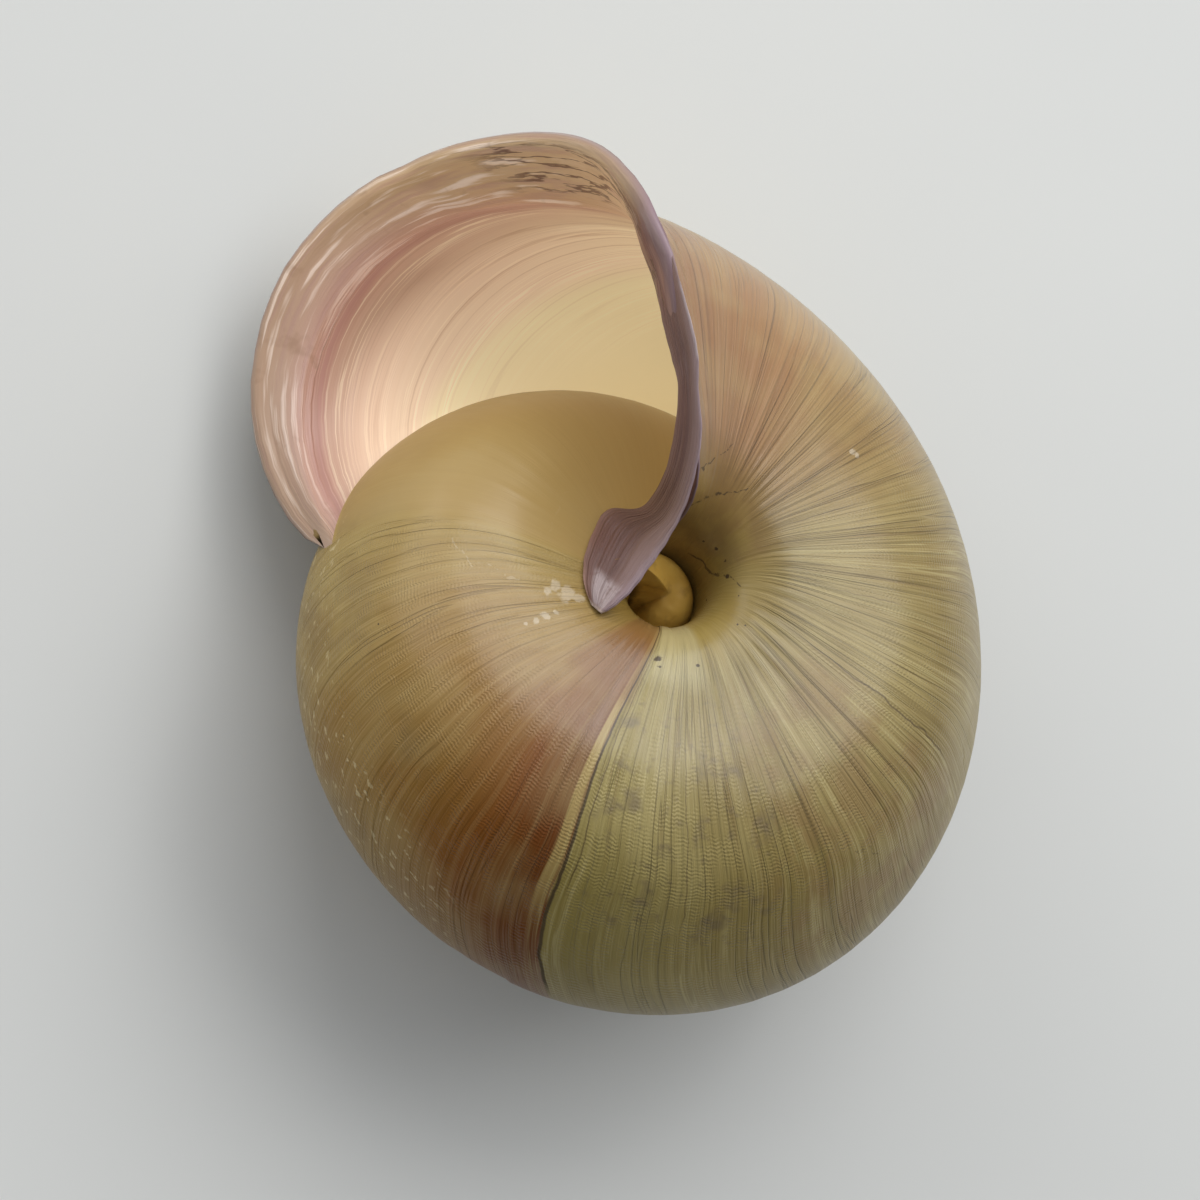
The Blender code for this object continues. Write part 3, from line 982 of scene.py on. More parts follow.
@dataclass
class ShellCoil:
    """The grown coil: skin, throat, lip and the knob in the umbilicus, as one closed mesh."""

    rule: GrowthRule
    lip: Lip
    sections: int = 360
    whorls: float = 5.5
    hollow_whorls: float = 1.25
    spire_cells: int = 14
    parietal_cells: int = 38
    umbilical_cells: int = 8
    lip_rings: int = 9
    nose_rings: int = 4
    knob_height: float = 2.75 * MM
    knob_rings: int = 14
    knob_fullness: float = 0.5
    column_spread: float = 60.0
    relief_height: float = 0.05 * MM
    skin_relief: float = 1.0
    inner_relief: float = 0.4
    band_relief: float = 0.5
    throat_relief: float = 0.3
    calm_ends: tuple[float, float] = (12.0, 14.0)
    seam_cache: dict[float, list[float]] = field(default_factory=dict)

    def column_shares(self, age: float) -> np.ndarray:
        """Shares of the mesh's columns: on the seams where a whorl covers them, even past the lip."""
        last_covered = self.lip.end_age - TURN
        spread = np.clip((age - last_covered) / self.column_spread, 0.0, 1.0)
        early = -self.rule.last_stretch - TURN
        key = early if age < early else min(age, last_covered)
        if key not in self.seam_cache:
            self.seam_cache[key] = self.rule.seam_shares(key)
        outer_start, inner_start, inner_end, outer_end = self.seam_cache[key]
        seamed = np.concatenate([np.linspace(0.0, outer_start, self.spire_cells + 1),
                                 np.linspace(inner_start, inner_end, self.parietal_cells + 1),
                                 np.linspace(outer_end, 1.0, self.umbilical_cells + 1)])
        return (1.0 - spread) * seamed + spread * np.linspace(0.0, 1.0, len(seamed))

    def marks(self, age: np.ndarray, share: np.ndarray, inset: np.ndarray, surface: Surface) -> np.ndarray:
        """Growth, share and way round the lip at places of the wall.

        Args:
            age: Their ages.
            share: Their shares.
            inset: How far they lie inside the outer face.
            surface: The face that they lie on.

        Returns:
            The three marks of each place. The last one runs round the lip: on the outer face it
            is minus the distance to the lip in millimetres, over the edge it rises from 0 to 1,
            and on the inner face it is 1 plus that distance.
        """
        wide = self.rule.size(age) * (self.rule.coil_radius + 0.5 * self.rule.tube_radius)
        away = np.radians(self.lip.age(share) + self.lip.wobble(share) - age) * wide / MM
        if surface is Surface.EDGE:
            around = inset / self.lip.edge_thickness(share, self.rule.wall)
        else:
            around = -away if surface is Surface.OUTER else 1.0 + away
        return np.stack([self.lip.growth(age, share, self.rule.bend), share, around], axis=-1)

    def wall_ring(self, mesh: CoilMesh, age: np.ndarray, share: np.ndarray, inset: float | np.ndarray,
                  flare: float | np.ndarray, relief: float, ends: tuple[int, int] | None,
                  seam_inset: float | np.ndarray, surface: Surface) -> Ring:
        """Add a ring across the wall.

        Args:
            mesh: The mesh that it is added to.
            age: Age at each place.
            share: Share of each place.
            inset: How far it lies inside the outer face.
            flare: How far it is flared out.
            relief: Strength of the growth relief.
            ends: Vertices that stand for its ends.
            seam_inset: The inset at which its seams lie: 0, the wall, or one for each place.
            surface: The face of the wall that it lies on.

        Returns:
            The ring.
        """
        given = isinstance(seam_inset, float)
        start, end = self.rule.seams(age, seam_inset) if given else self.rule.found_seams(age, seam_inset)
        angle = start + share * (end - start)
        at_suture, at_umbilicus = self.calm_ends
        relief = relief * np.clip(at_suture * share, 0.0, 1.0) * np.clip(at_umbilicus * (1.0 - share), 0.0, 1.0)
        marks = self.marks(age, share, inset, surface)
        return mesh.ring(age + 0.0 * share, angle, inset - flare + 0.0 * share, relief, marks, ends)

    def build(self, skin: bpy.types.Material, glaze: bpy.types.Material,
              knob: bpy.types.Material) -> bpy.types.Object:
        """Make the coil.

        Args:
            skin: Material of the outer wall.
            glaze: Material of the throat and of the lip.
            knob: Material of the knob in the umbilicus.

        Returns:
            The finished piece.
        """
        rule, lip, turn = self.rule, self.lip, self.sections
        step = TURN / turn
        last = round(self.whorls * turn)
        hollow = last - round(self.hollow_whorls * turn)
        fan = round((lip.end_age - lip.start_age) / step)
        suture_outer = self.spire_cells
        suture_inner = suture_outer + 1
        seam_inner = suture_inner + self.parietal_cells
        seam_outer = seam_inner + 1
        columns = seam_outer + self.umbilical_cells
        radius = rule.size(0.0) * (rule.coil_radius + rule.tube_radius)
        mesh = CoilMesh()
        outer, inner = [], {}
        for number in range(last + 1):
            base = lip.end_age - step * (last - number)
            share = self.column_shares(base)
            ages = base + 0.0 * share
            if number > last - fan:
                part = (number - last + fan) / fan
                ages = lip.start_age + part * (lip.band_age(share, radius) - lip.start_age)
            before = outer[number - turn] if number >= turn else None
            ends = (before.ids[suture_outer], before.ids[seam_outer]) if before else None
            outer.append(self.wall_ring(mesh, ages, share, 0.0, 0.0, self.skin_relief, ends, 0.0, Surface.OUTER))
            if number >= hollow:
                ends = (before.ids[suture_inner], before.ids[seam_inner])
                inner[number] = self.wall_ring(mesh, ages, share, rule.wall, 0.0, self.inner_relief, ends,
                                               rule.wall, Surface.INNER)
        everywhere = range(columns)
        for number in range(last):
            covered = number + turn < last
            inside = (last - turn - number) * math.radians(step) * rule.coil_radius / MM
            mesh.skin(outer[number], outer[number + 1], range(suture_outer) if covered else everywhere, Wall.SKIN)
            if covered and number + turn >= hollow:
                mesh.skin(outer[number], outer[number + 1], range(suture_inner, seam_inner), Wall.SKIN, inside)
        path = [outer[last]] + self.edge_rings(mesh, share, radius, outer[last], inner[last])
        path += [inner[number] for number in range(last, hollow - 1, -1)]
        for place, (first, second) in enumerate(zip(path, path[1:])):
            mesh.skin(first, second, everywhere, Wall.SKIN if place < self.lip_rings - 1 else Wall.GLAZE)
        extra: list[Vector] = []
        first = outer[0]
        apex = [ring.corner(0) for ring in outer[:turn]] + [first.corner(c) for c in range(suture_outer, 0, -1)]
        self.fan_over(mesh, extra, apex, Wall.SKIN)
        floor = outer[hollow - turn]
        deepest = [inner[hollow].corner(c) for c in range(columns)]
        deepest += [floor.corner(c) for c in range(seam_inner, suture_inner, -1)]
        self.fan_over(mesh, extra, deepest, Wall.GLAZE)
        well = [ring.corner(-1) for ring in outer[last - turn:last]]
        well += [outer[last - turn].corner(c) for c in range(seam_outer, columns)]
        self.dome_over(mesh, extra, well)
        source = mesh.to_object("coil_faces", extra)
        self.add_reach(source)
        inputs = {"Whorl Growth": rule.whorl_growth, "Coil Radius": rule.coil_radius, "Coil Drop": rule.coil_drop,
                  "Lean X": rule.lean[0], "Lean Y": rule.lean[1], "Last Stretch": rule.last_stretch,
                  "Last Swell": rule.last_swell, "Last Drop": rule.last_drop, "Lip Azimuth": rule.lip_azimuth,
                  "Relief Height": self.relief_height, "Skin": skin, "Glaze": glaze, "Knob": knob}
        piece = frozen(source, coil_tree(), inputs, "shell_coil")
        piece.data.transform(rule.to_rest())
        turned_out(piece.data)
        piece.data.shade_smooth()
        return piece

    def edge_rings(self, mesh: CoilMesh, share: np.ndarray, radius: float, outer: Ring, inner: Ring) -> list[Ring]:
        """Rings of the flared band: out to its edge, round its nose and back along its inner face.

        Args:
            mesh: The mesh that they are added to.
            share: Shares of the mesh's columns.
            radius: How far the whorl's outer wall is from the axis.
            outer: Last ring of the outer wall.
            inner: Last ring of the inner wall.

        Returns:
            The rings in order.
        """
        rule, lip = self.rule, self.lip
        band, edge = lip.band_age(share, radius), lip.age(share) + lip.wobble(share)
        strength, thickness = lip.strength(share), lip.edge_thickness(share, rule.wall)
        outer_ends = (outer.ids[0], outer.ids[-1])
        inner_ends = (inner.ids[0], inner.ids[-1])
        going, coming = [], []
        for part in np.linspace(0.0, 1.0, self.lip_rings + 1)[1:]:
            age = band + part * (edge - band)
            flare = lip.flare * strength * part ** 2
            inset = rule.wall + (thickness - rule.wall) * part
            going.append(self.wall_ring(mesh, age, share, 0.0, flare, self.band_relief, outer_ends, 0.0,
                                        Surface.OUTER))
            coming.append(self.wall_ring(mesh, age, share, inset, flare, self.throat_relief, inner_ends, inset,
                                         Surface.INNER))
        nose = np.degrees(lip.nose / rule.coil_radius) * lip.fade(share)
        middle = []
        for turn in np.linspace(0.0, math.pi, self.nose_rings + 2)[1:-1]:
            inset = thickness * (1.0 - math.cos(turn)) / 2.0
            middle.append(self.wall_ring(mesh, edge + nose * math.sin(turn), share, inset,
                                         lip.flare * strength, 0.0, outer_ends, inset, Surface.EDGE))
        return going + middle + coming[::-1]

    def add_reach(self, source: bpy.types.Object) -> None:
        """Store the section's own reach at each vertex, which the growth rule reads."""
        mesh = source.data
        angle = np.zeros(len(mesh.vertices), np.float32)
        mesh.attributes["angle"].data.foreach_get("value", angle)
        store(mesh, "reach", "FLOAT", "POINT", self.rule.reach(angle.astype(float)))

    def fan_over(self, mesh: CoilMesh, extra: list[Vector], loop: list[Corner], wall: Wall) -> None:
        """Close a loop of vertices with a fan whose middle is a new vertex.

        Args:
            mesh: The mesh.
            extra: List that the middle's place is added to.
            loop: Vertex and marks of each corner.
            wall: The wall that the fan belongs to.
        """
        top = (mesh.count + len(extra), loop[0][1])
        extra.append(Vector(mesh.places(self.rule, [number for number, _ in loop]).mean(axis=0)))
        for place, corner in enumerate(loop):
            mesh.face([corner, loop[(place + 1) % len(loop)], top], wall)

    def dome_over(self, mesh: CoilMesh, extra: list[Vector], loop: list[Corner]) -> None:
        """The earlier whorl's knob that shows inside the umbilicus, over a closed loop of vertices.

        Args:
            mesh: The mesh.
            extra: List that the new places are added to.
            loop: Vertex and marks of each corner.
        """
        places = mesh.places(self.rule, [number for number, _ in loop])
        middle = places.mean(axis=0)
        below = loop
        for step in range(1, self.knob_rings):
            rise = math.radians(90.0) * step / self.knob_rings
            lift = np.array([0.0, 0.0, self.knob_height * math.sin(rise)])
            shrink = math.cos(rise) ** self.knob_fullness
            mark = (0.0, step / self.knob_rings, 0.0)
            ring = [(mesh.count + len(extra) + place, mark) for place in range(len(loop))]
            extra.extend(Vector(place) for place in middle + shrink * (places - middle) + lift)
            for place in range(len(loop)):
                after = (place + 1) % len(loop)
                mesh.face([below[place], below[after], ring[after], ring[place]], Wall.KNOB)
            below = ring
        top = (mesh.count + len(extra), (0.0, 1.0, 0.0))
        extra.append(Vector(middle + np.array([0.0, 0.0, self.knob_height])))
        for place, corner in enumerate(below):
            mesh.face([corner, below[(place + 1) % len(below)], top], Wall.KNOB)


# The fold


@dataclass
class UmbilicalFold:
    """The lip's reflected strip, which widens to a spoon-shaped fold over the umbilicus.

    Its rim and its seat are given in the coil's frame, in millimetres, from the top of the
    mouth down to the tip of the spoon.
    """

    rule: GrowthRule
    rim: tuple[tuple[float, float, float], ...] = (
        (-4.47, 13.98, 22.34), (-3.96, 11.67, 23.16), (-3.68, 9.42, 23.46), (-3.28, 7.54, 23.37),
        (-3.01, 6.30, 23.13), (-2.93, 5.24, 22.75), (-2.72, 3.62, 22.23), (-2.72, 2.16, 21.22),
        (-2.78, 1.15, 19.78), (-2.96, 0.49, 18.20), (-3.39, -0.28, 16.93), (-3.95, -0.85, 16.09),
        (-4.40, -1.04, 15.66))
    seat: tuple[tuple[float, float, float], ...] = (
        (-4.57, 13.66, 20.92), (-4.18, 11.82, 21.41), (-3.83, 10.07, 21.70), (-3.64, 8.38, 21.69),
        (-3.40, 6.90, 21.68), (-3.25, 5.76, 21.68), (-3.20, 4.15, 20.86), (-3.12, 3.08, 19.35),
        (-3.01, 2.95, 17.05), (-3.33, 3.93, 14.43), (-4.38, 2.19, 14.83), (-4.86, 0.59, 15.23),
        (-4.72, -0.64, 15.51))
    facing: tuple[float, float, float] = (-0.357, -0.330, 0.874)
    thickness: float = 1.3 * MM
    hollow: float = -0.12 * MM
    spoon_start: float = 0.42
    spoon_rise: float = 0.3
    groove_depth: float = 0.022 * MM
    groove_turn: float = 15.0
    roll_height: float = 0.12 * MM
    ripple: float = 0.010
    edge_power: int = 8
    belly_power: int = 6
    root: float = 0.20
    root_depth: float = 0.5 * MM
    root_width: float = 0.12
    strip_thickness: float = 0.5 * MM
    stations: int = 220
    sides: int = 72

    def build(self, finish: bpy.types.Material) -> bpy.types.Object:
        """Make the fold.

        Args:
            finish: Its material.

        Returns:
            The finished piece.
        """
        places = np.linspace(0.0, 1.0, self.stations)
        rims, seats = through(np.array(self.rim) * MM, places), through(np.array(self.seat) * MM, places)
        turn = math.tau * np.arange(self.sides) / self.sides
        across = np.cos(turn)
        upper = turn <= math.pi
        edge = np.sqrt(np.clip(1.0 - across ** self.edge_power, 0.0, 1.0)) * upper
        belly = np.sqrt(np.clip(1.0 - across ** self.belly_power, 0.0, 1.0)) * ~upper
        points, marks = [], []
        for place, rim, seat in zip(places, rims, seats):
            spoon = float(eased((place - self.spoon_start) / self.spoon_rise))
            rooted = float(eased(place / self.root))
            under = (self.strip_thickness + (self.thickness - self.strip_thickness) * spoon) * belly
            sag = self.hollow * spoon * (1.0 - across ** 2) * (1.0 - place ** 6)
            wave = np.sin(self.groove_turn * across + 3.0 * place)
            grooves = self.groove_depth * wave * eased((0.45 - across) / 0.5) * edge
            roll = self.roll_height * eased((across - 0.1) / 0.5) * edge
            sink = self.root_depth * (1.0 - rooted)
            ripple = 1.0 + self.ripple * (math.sin(53.0 * place) + math.sin(131.0 * place + 1.0))
            width = (self.root_width + (1.0 - self.root_width) * rooted) * (rim - seat)
            level = rim - np.outer((1.0 - across * ripple) / 2, width)
            points.append(level - np.outer(under + sag + grooves - roll + sink, self.facing))
            marks.append(np.stack([0.0 * across + place, across, under / MM], axis=-1))
        root_middle = (self.root_depth + 0.5 * self.strip_thickness) * np.array([self.facing])
        points.append((rims[0] - self.root_width * (rims[0] - seats[0]) / 2)[None] - root_middle)
        points.append((rims[-1] + seats[-1])[None] / 2 - 0.3 * self.thickness * np.array([self.facing]))
        marks.append(np.array([[0.0, 0.0, 1.0], [1.0, 0.0, 1.0]]))
        faces = []
        for number in range(self.stations - 1):
            for side in range(self.sides):
                after = (side + 1) % self.sides
                faces.append((number * self.sides + side, (number + 1) * self.sides + side,
                              (number + 1) * self.sides + after, number * self.sides + after))
        count = self.stations * self.sides
        for side in range(self.sides):
            after = (side + 1) % self.sides
            faces.append((side, after, count))
            faces.append((count - self.sides + after, count - self.sides + side, count + 1))
        mesh = bpy.data.meshes.new("umbilical_fold")
        mesh.from_pydata(np.concatenate(points).tolist(), [], faces)
        store(mesh, "fold", "FLOAT_VECTOR", "POINT", np.concatenate(marks))
        mesh.transform(self.rule.to_rest())
        turned_out(mesh)
        mesh.shade_smooth()
        mesh.materials.append(finish)
        return new_object("umbilical_fold", mesh)


# Finishes


@dataclass(frozen=True)
class Finish:
    """What the shell's finishes share: a name and a gloss."""

    effects: SharedEffects
    name: str
    roughness: float
    coat: float
    shine: float

    def start(self) -> tuple[bpy.types.Material, ShaderTree, bpy.types.Node]:
        """A new material with its Principled node set.

        Returns:
            The material, its tree and its Principled node.
        """
        material = bpy.data.materials.new(self.name)
        material.use_nodes = True
        shader = material.node_tree.nodes["Principled BSDF"]
        shader.inputs["Roughness"].default_value = self.roughness
        shader.inputs["Metallic"].default_value = 0.0
        shader.inputs["Coat Weight"].default_value = self.coat
        shader.inputs["Coat Roughness"].default_value = COAT_ROUGHNESS
        shader.inputs["Specular IOR Level"].default_value = self.shine
        return material, ShaderTree(material.node_tree), shader

    def smudge(self, tree: ShaderTree, place: Socket, scale: float, cover: float) -> Socket:
        """Mask of soft patches on a place, with their own fineness and cover."""
        return tree.group(self.effects.smudge, {"Vector": place, "Scale": scale, "Cover": cover}).outputs[0]

    def growth_lines(self, tree: ShaderTree, growth: Socket, share: Socket, spacing: float) -> bpy.types.Node:
        """Growth lines at this spacing, in degrees of growth."""
        return tree.group(self.effects.lines, {"Growth": growth, "Share": share, "Spacing": spacing})

    @staticmethod
    def raised(tree: ShaderTree, shader: bpy.types.Node, height: Socket, distance: float, strength: float) -> None:
        """Give the material its relief.

        Args:
            tree: The material's tree.
            shader: Its Principled node.
            height: The height's socket.
            distance: How far the height reaches.
            strength: How strongly it shows.
        """
        bump = tree.add("ShaderNodeBump", {"Height": height, "Distance": distance, "Strength": strength})
        tree.feed(shader.inputs["Normal"], bump.outputs[0])

    @staticmethod
    def read(tree: ShaderTree, name: str) -> tuple[Socket, Socket, Socket]:
        """The three parts of a mark kept on the mesh.

        Args:
            tree: The material's tree.
            name: The mark's name.

        Returns:
            Its parts.
        """
        mark = tree.add("ShaderNodeAttribute", attribute_name=name).outputs["Vector"]
        parts = tree.add("ShaderNodeSeparateXYZ", {0: mark}).outputs
        return parts[0], parts[1], parts[2]


@dataclass(frozen=True)
class Stain:
    """A zone of soft patches on the skin."""

    growth: tuple[float, float, float]
    share: tuple[float, float, float]
    scale: float
    cover: float
    strength: float
    colour: Colour


@dataclass(frozen=True)
class Crack:
    """A hair line that follows the growth lines."""

    growth: float
    half_width: float
    share: tuple[float, float]
    waver: float
    strength: float = 0.8


@dataclass(frozen=True)
class SmallMarks:
    """Small marks on the skin, with the age and the share of each of their places."""

    specks: tuple[tuple[float, float, float], ...] = (
        (-236.0, 0.808, 0.17), (-234.0, 0.800, 0.12), (-89.0, 0.882, 0.08), (-69.0, 0.894, 0.06),
        (-173.0, 0.833, 0.06), (-170.0, 0.827, 0.05), (-212.0, 0.808, 0.09), (-149.0, 0.851, 0.05),
        (-143.0, 0.900, 0.05), (-126.0, 0.872, 0.12), (-300.0, 0.45, 0.05))
    scraps: tuple[tuple[float, float, float], ...] = (
        (-304.0, 0.765, 0.30), (-300.0, 0.779, 0.42), (-296.5, 0.790, 0.30), (-301.0, 0.752, 0.22),
        (-290.0, 0.741, 0.20), (-289.0, 0.724, 0.16), (-291.0, 0.755, 0.15), (-289.0, 0.708, 0.10),
        (-91.0, 0.685, 0.16), (-92.5, 0.680, 0.12))
    lines: tuple[Line, ...] = (
        ((-60.0, 0.925), (-78.0, 0.914), 0.13), ((-78.0, 0.914), (-95.0, 0.907), 0.12),
        ((-95.0, 0.907), (-118.0, 0.888), 0.11), ((-118.0, 0.888), (-126.0, 0.870), 0.09),
        ((-126.0, 0.870), (-140.0, 0.853), 0.05), ((-118.0, 0.888), (-108.0, 0.872), 0.06),
        ((-16.0, 0.880), (-46.0, 0.857), 0.085), ((-46.0, 0.857), (-66.0, 0.839), 0.065),
        ((-66.0, 0.839), (-76.0, 0.822), 0.04), ((-19.0, 0.847), (-42.0, 0.827), 0.05),
        ((-42.0, 0.827), (-54.0, 0.806), 0.035))
    loops: tuple[Line, ...] = (
        ((-183.0, 0.488), (-179.0, 0.476), 0.05), ((-179.0, 0.476), (-177.0, 0.433), 0.05),
        ((-177.0, 0.433), (-178.0, 0.396), 0.05), ((-178.0, 0.396), (-181.0, 0.371), 0.05),
        ((-181.0, 0.371), (-186.0, 0.363), 0.05))
    scratches: tuple[Line, ...] = (
        ((-311.0, 0.648), (-306.0, 0.712), 0.05), ((-332.0, 0.742), (-356.0, 0.720), 0.045),
        ((-340.0, 0.660), (-330.0, 0.690), 0.04), ((-318.0, 0.590), (-309.0, 0.640), 0.04))


@dataclass(frozen=True)
class SkinFinish(Finish):
    """The outer wall: glossy olive-yellow skin with growth lines, fine striae, bands, smudges, stains and specks,
    and painted shade and highlight on the ribs.
    """

    rule: GrowthRule
    marks: SmallMarks = SmallMarks()
    along: Stops = (
        (-400.0, paint(154, 130, 74)), (-345.0, paint(152, 128, 70)), (-312.0, paint(142, 117, 62)),
        (-290.0, paint(136, 107, 52)), (-270.0, paint(126, 92, 38)), (-252.0, paint(112, 66, 14)),
        (-242.0, paint(98, 50, 0)), (-238.2, paint(92, 46, 0)), (-236.0, paint(130, 116, 62)),
        (-222.0, paint(134, 120, 70)), (-200.0, paint(128, 112, 62)), (-165.0, paint(124, 106, 58)),
        (-130.0, paint(128, 110, 60)), (-105.0, paint(130, 110, 60)), (-85.0, paint(136, 108, 62)),
        (-62.0, paint(142, 104, 66)), (-42.0, paint(140, 102, 66)), (-25.0, paint(130, 96, 68)))
    stains: tuple[Stain, ...] = (
        Stain((-232.0, -198.0, 8.0), (0.42, 0.72, 0.07), 620.0, 0.42, 0.62, paint(98, 84, 64)),
        Stain((-232.0, -196.0, 8.0), (0.40, 0.74, 0.07), 1500.0, 0.40, 0.45, paint(88, 74, 56)),
        Stain((-192.0, -158.0, 10.0), (0.34, 0.72, 0.08), 480.0, 0.62, 0.45, paint(120, 92, 54)),
        Stain((-360.0, -262.0, 12.0), (0.12, 0.42, 0.10), 340.0, 0.50, 0.30, paint(104, 82, 48)),
        Stain((-262.0, -239.0, 6.0), (0.76, 0.93, 0.04), 200.0, 1.0, 0.55, paint(116, 76, 46)),
        Stain((-232.0, -208.0, 8.0), (0.80, 0.88, 0.03), 200.0, 1.0, 0.45, paint(176, 166, 128)),
        Stain((-110.0, -20.0, 14.0), (0.84, 0.93, 0.04), 420.0, 0.75, 0.45, paint(112, 82, 48)))
    cracks: tuple[Crack, ...] = (
        Crack(-237.4, 0.46, (0.20, 1.01), 1.8, 0.95), Crack(-235.2, 0.20, (0.42, 0.90), 2.4, 0.6),
        Crack(-152.0, 0.34, (0.46, 0.80), 5.0, 0.6), Crack(-101.0, 0.30, (0.70, 0.84), 4.0, 0.5),
        Crack(-128.0, 0.26, (0.64, 0.82), 5.0, 0.45), Crack(-214.0, 0.20, (0.40, 0.78), 3.0, 0.5))

    def build(self) -> bpy.types.Material:
        """Make the material."""
        material, tree, shader = self.start()
        growth, share, _ = self.read(tree, "growth")
        inside = tree.add("ShaderNodeAttribute", attribute_name="mouth").outputs["Fac"]
        place = tree.place()
        calm = tree.times(tree.rise(share, 0.845, 0.795), tree.rise(inside, 0.6, 0.0))
        colour = self.ground(tree, growth, share, place)
        lines = self.growth_lines(tree, growth, share, 2.1)
        fine = self.growth_lines(tree, growth, share, 0.8)
        # Dark growth lines: their own brown colour, made stronger on the ribs as painted shade in the rib grooves.
        ribbed = tree.window(share, 0.66, 0.80, 0.22)
        for effect, strength, shade in ((lines, 0.30, paint(92, 64, 26)), (fine, 0.18, paint(98, 70, 30))):
            level = tree.times(tree.scaled(ribbed, 0.75, 0.22), strength)
            colour = tree.tint(colour, shade, effect.outputs["Dark"], calm, level)
        # Pale lines on the ribs behind the growth stop: painted highlight on the rib ridges.
        rib_highlight_zone = tree.times(tree.window(growth, -234.0, -112.0, 16.0), calm)
        for effect, strength in ((lines, 0.30), (fine, 0.14)):
            colour = tree.tint(colour, paint(182, 170, 122), effect.outputs["Pale"], rib_highlight_zone, strength)
        margin = tree.times(tree.window(growth, -240.0, -238.4, 0.6), tree.rise(share, 0.30, 0.45))
        colour = tree.tint(colour, paint(168, 148, 92), margin, 0.6)
        colour = self.stained(tree, colour, growth, share, place)
        # Darker along the seam inside the umbilicus, with an uneven edge.
        seam_jitter = tree.noise(place, 1500.0, 3.0, 0.6)
        suture = tree.rise(tree.scaled(tree.minus(seam_jitter, 0.5), 0.05, share), 0.962, 0.992)
        suture = tree.times(suture, tree.rise(inside, 0.5, 0.0))
        colour = tree.tint(colour, paint(58, 36, 18), suture, 0.8)
        flakes, dark = self.small_marks(tree, place)
        for crack in self.cracks:
            made = tree.group(self.effects.crack, {
                "Growth": growth, "Share": share, "At": crack.growth, "Half Width": crack.half_width,
                "From": crack.share[0], "To": crack.share[1], "Waver": crack.waver}).outputs[0]
            dark = tree.math("MAXIMUM", dark, tree.times(made, crack.strength))
        colour = tree.tint(colour, paint(52, 36, 20), dark, 0.9)
        colour = tree.tint(colour, paint(196, 184, 164), flakes, 0.45)
        glazed = tree.rise(inside, 0.0, 1.4)
        colour = tree.tint(colour, paint(152, 126, 76), glazed, 0.75)
        tree.feed(shader.inputs["Base Color"], colour)
        wet = tree.times(tree.rise(share, 0.30, 0.62), self.coat)
        tree.feed(shader.inputs["Coat Weight"], wet)
        worn = tree.scaled(lines.outputs["Height"], 0.14, self.roughness - 0.07)
        worn = tree.plus(worn, tree.times(glazed, 0.08))
        tree.feed(shader.inputs["Roughness"], tree.plus(worn, tree.times(dark, 0.3)))
        height = self.relief(tree, growth, share, calm, lines, fine)
        self.raised(tree, shader, height, 0.36 * MM, 1.0)
        return material

    def ground(self, tree: ShaderTree, growth: Socket, share: Socket, place: Socket) -> Socket:
        """The skin's own colour, in bands along the growth and shades across the wall.

        Args:
            tree: The material's tree.
            growth: Growth's socket.
            share: Share's socket.
            place: Place on the piece.

        Returns:
            The colour's socket.
        """
        drift = tree.stretched(growth, 0.05, share, 2.5, 3.0, 0.6)
        shifted = tree.plus(growth, tree.times(tree.minus(drift, 0.5), 20.0))
        younger = tree.rise(growth, GROWTH_STOP - 0.4, GROWTH_STOP + 0.2)
        older = tree.times(tree.math("MINIMUM", shifted, GROWTH_STOP - 0.9), tree.minus(1.0, younger))
        newer = tree.times(tree.math("MAXIMUM", shifted, GROWTH_STOP + 1.5), younger)
        colour = tree.ramp(tree.plus(older, newer), self.along)
        streak = tree.noise(tree.join(tree.times(growth, 0.8), share), 1.0, 3.0, 0.65)
        lit = tree.times(tree.minus(streak, 0.5), 0.5, clamp=True)
        colour = tree.tint(colour, paint(190, 172, 122), lit)
        dim = tree.times(tree.minus(0.5, streak), 0.7, clamp=True)
        colour = tree.tint(colour, paint(104, 80, 44), dim)
        funnel = tree.rise(share, 0.79, 0.86)
        colour = tree.tint(colour, paint(144, 120, 58), funnel, 0.7)
        shoulder = tree.times(tree.rise(share, 0.56, 0.40), tree.rise(growth, -130.0, -80.0))
        colour = tree.tint(colour, paint(132, 116, 70), shoulder, 0.75)
        rim = tree.times(tree.rise(share, 0.34, 0.08), 0.45)
        colour = tree.tint(colour, paint(126, 98, 58), rim)
        return tree.tint(colour, paint(176, 162, 112), self.smudge(tree, place, 130.0, 0.62), 0.20)

    def stained(self, tree: ShaderTree, colour: Socket, growth: Socket, share: Socket, place: Socket) -> Socket:
        """Smudges, mottling and the reddish shade beside the umbilicus.

        Args:
            tree: The material's tree.
            colour: The colour so far.
            growth: Growth's socket.
            share: Share's socket.
            place: Place on the piece.

        Returns:
            The new colour's socket.
        """
        for stain in self.stains:
            patch = self.smudge(tree, place, stain.scale, stain.cover)
            here = tree.times(tree.window(growth, *stain.growth), tree.window(share, *stain.share))
            colour = tree.tint(colour, stain.colour, patch, here, stain.strength)
        worn = tree.rise(tree.stretched(growth, 0.5, share, 90.0, 3.0), 0.60, 0.66)
        return tree.tint(colour, paint(196, 180, 140), worn, tree.window(share, 0.16, 0.30, 0.05),
                         tree.window(growth, -325.0, -262.0, 14.0), 0.55)

    def small_marks(self, tree: ShaderTree, place: Socket) -> tuple[Socket, Socket]:
        """Masks of the pale and of the dark small marks.

        Args:
            tree: The material's tree.
            place: Place on the piece.

        Returns:
            The pale mask and the dark mask.
        """
        def spots(marks: tuple[tuple[float, float, float], ...]) -> Socket:
            """Mask of round spots."""
            return tree.most(tree.group(self.effects.spot, {
                "Vector": place, "Place": tuple(self.rule.point(age, share)), "Radius": radius * MM}).outputs[0]
                for age, share, radius in marks)

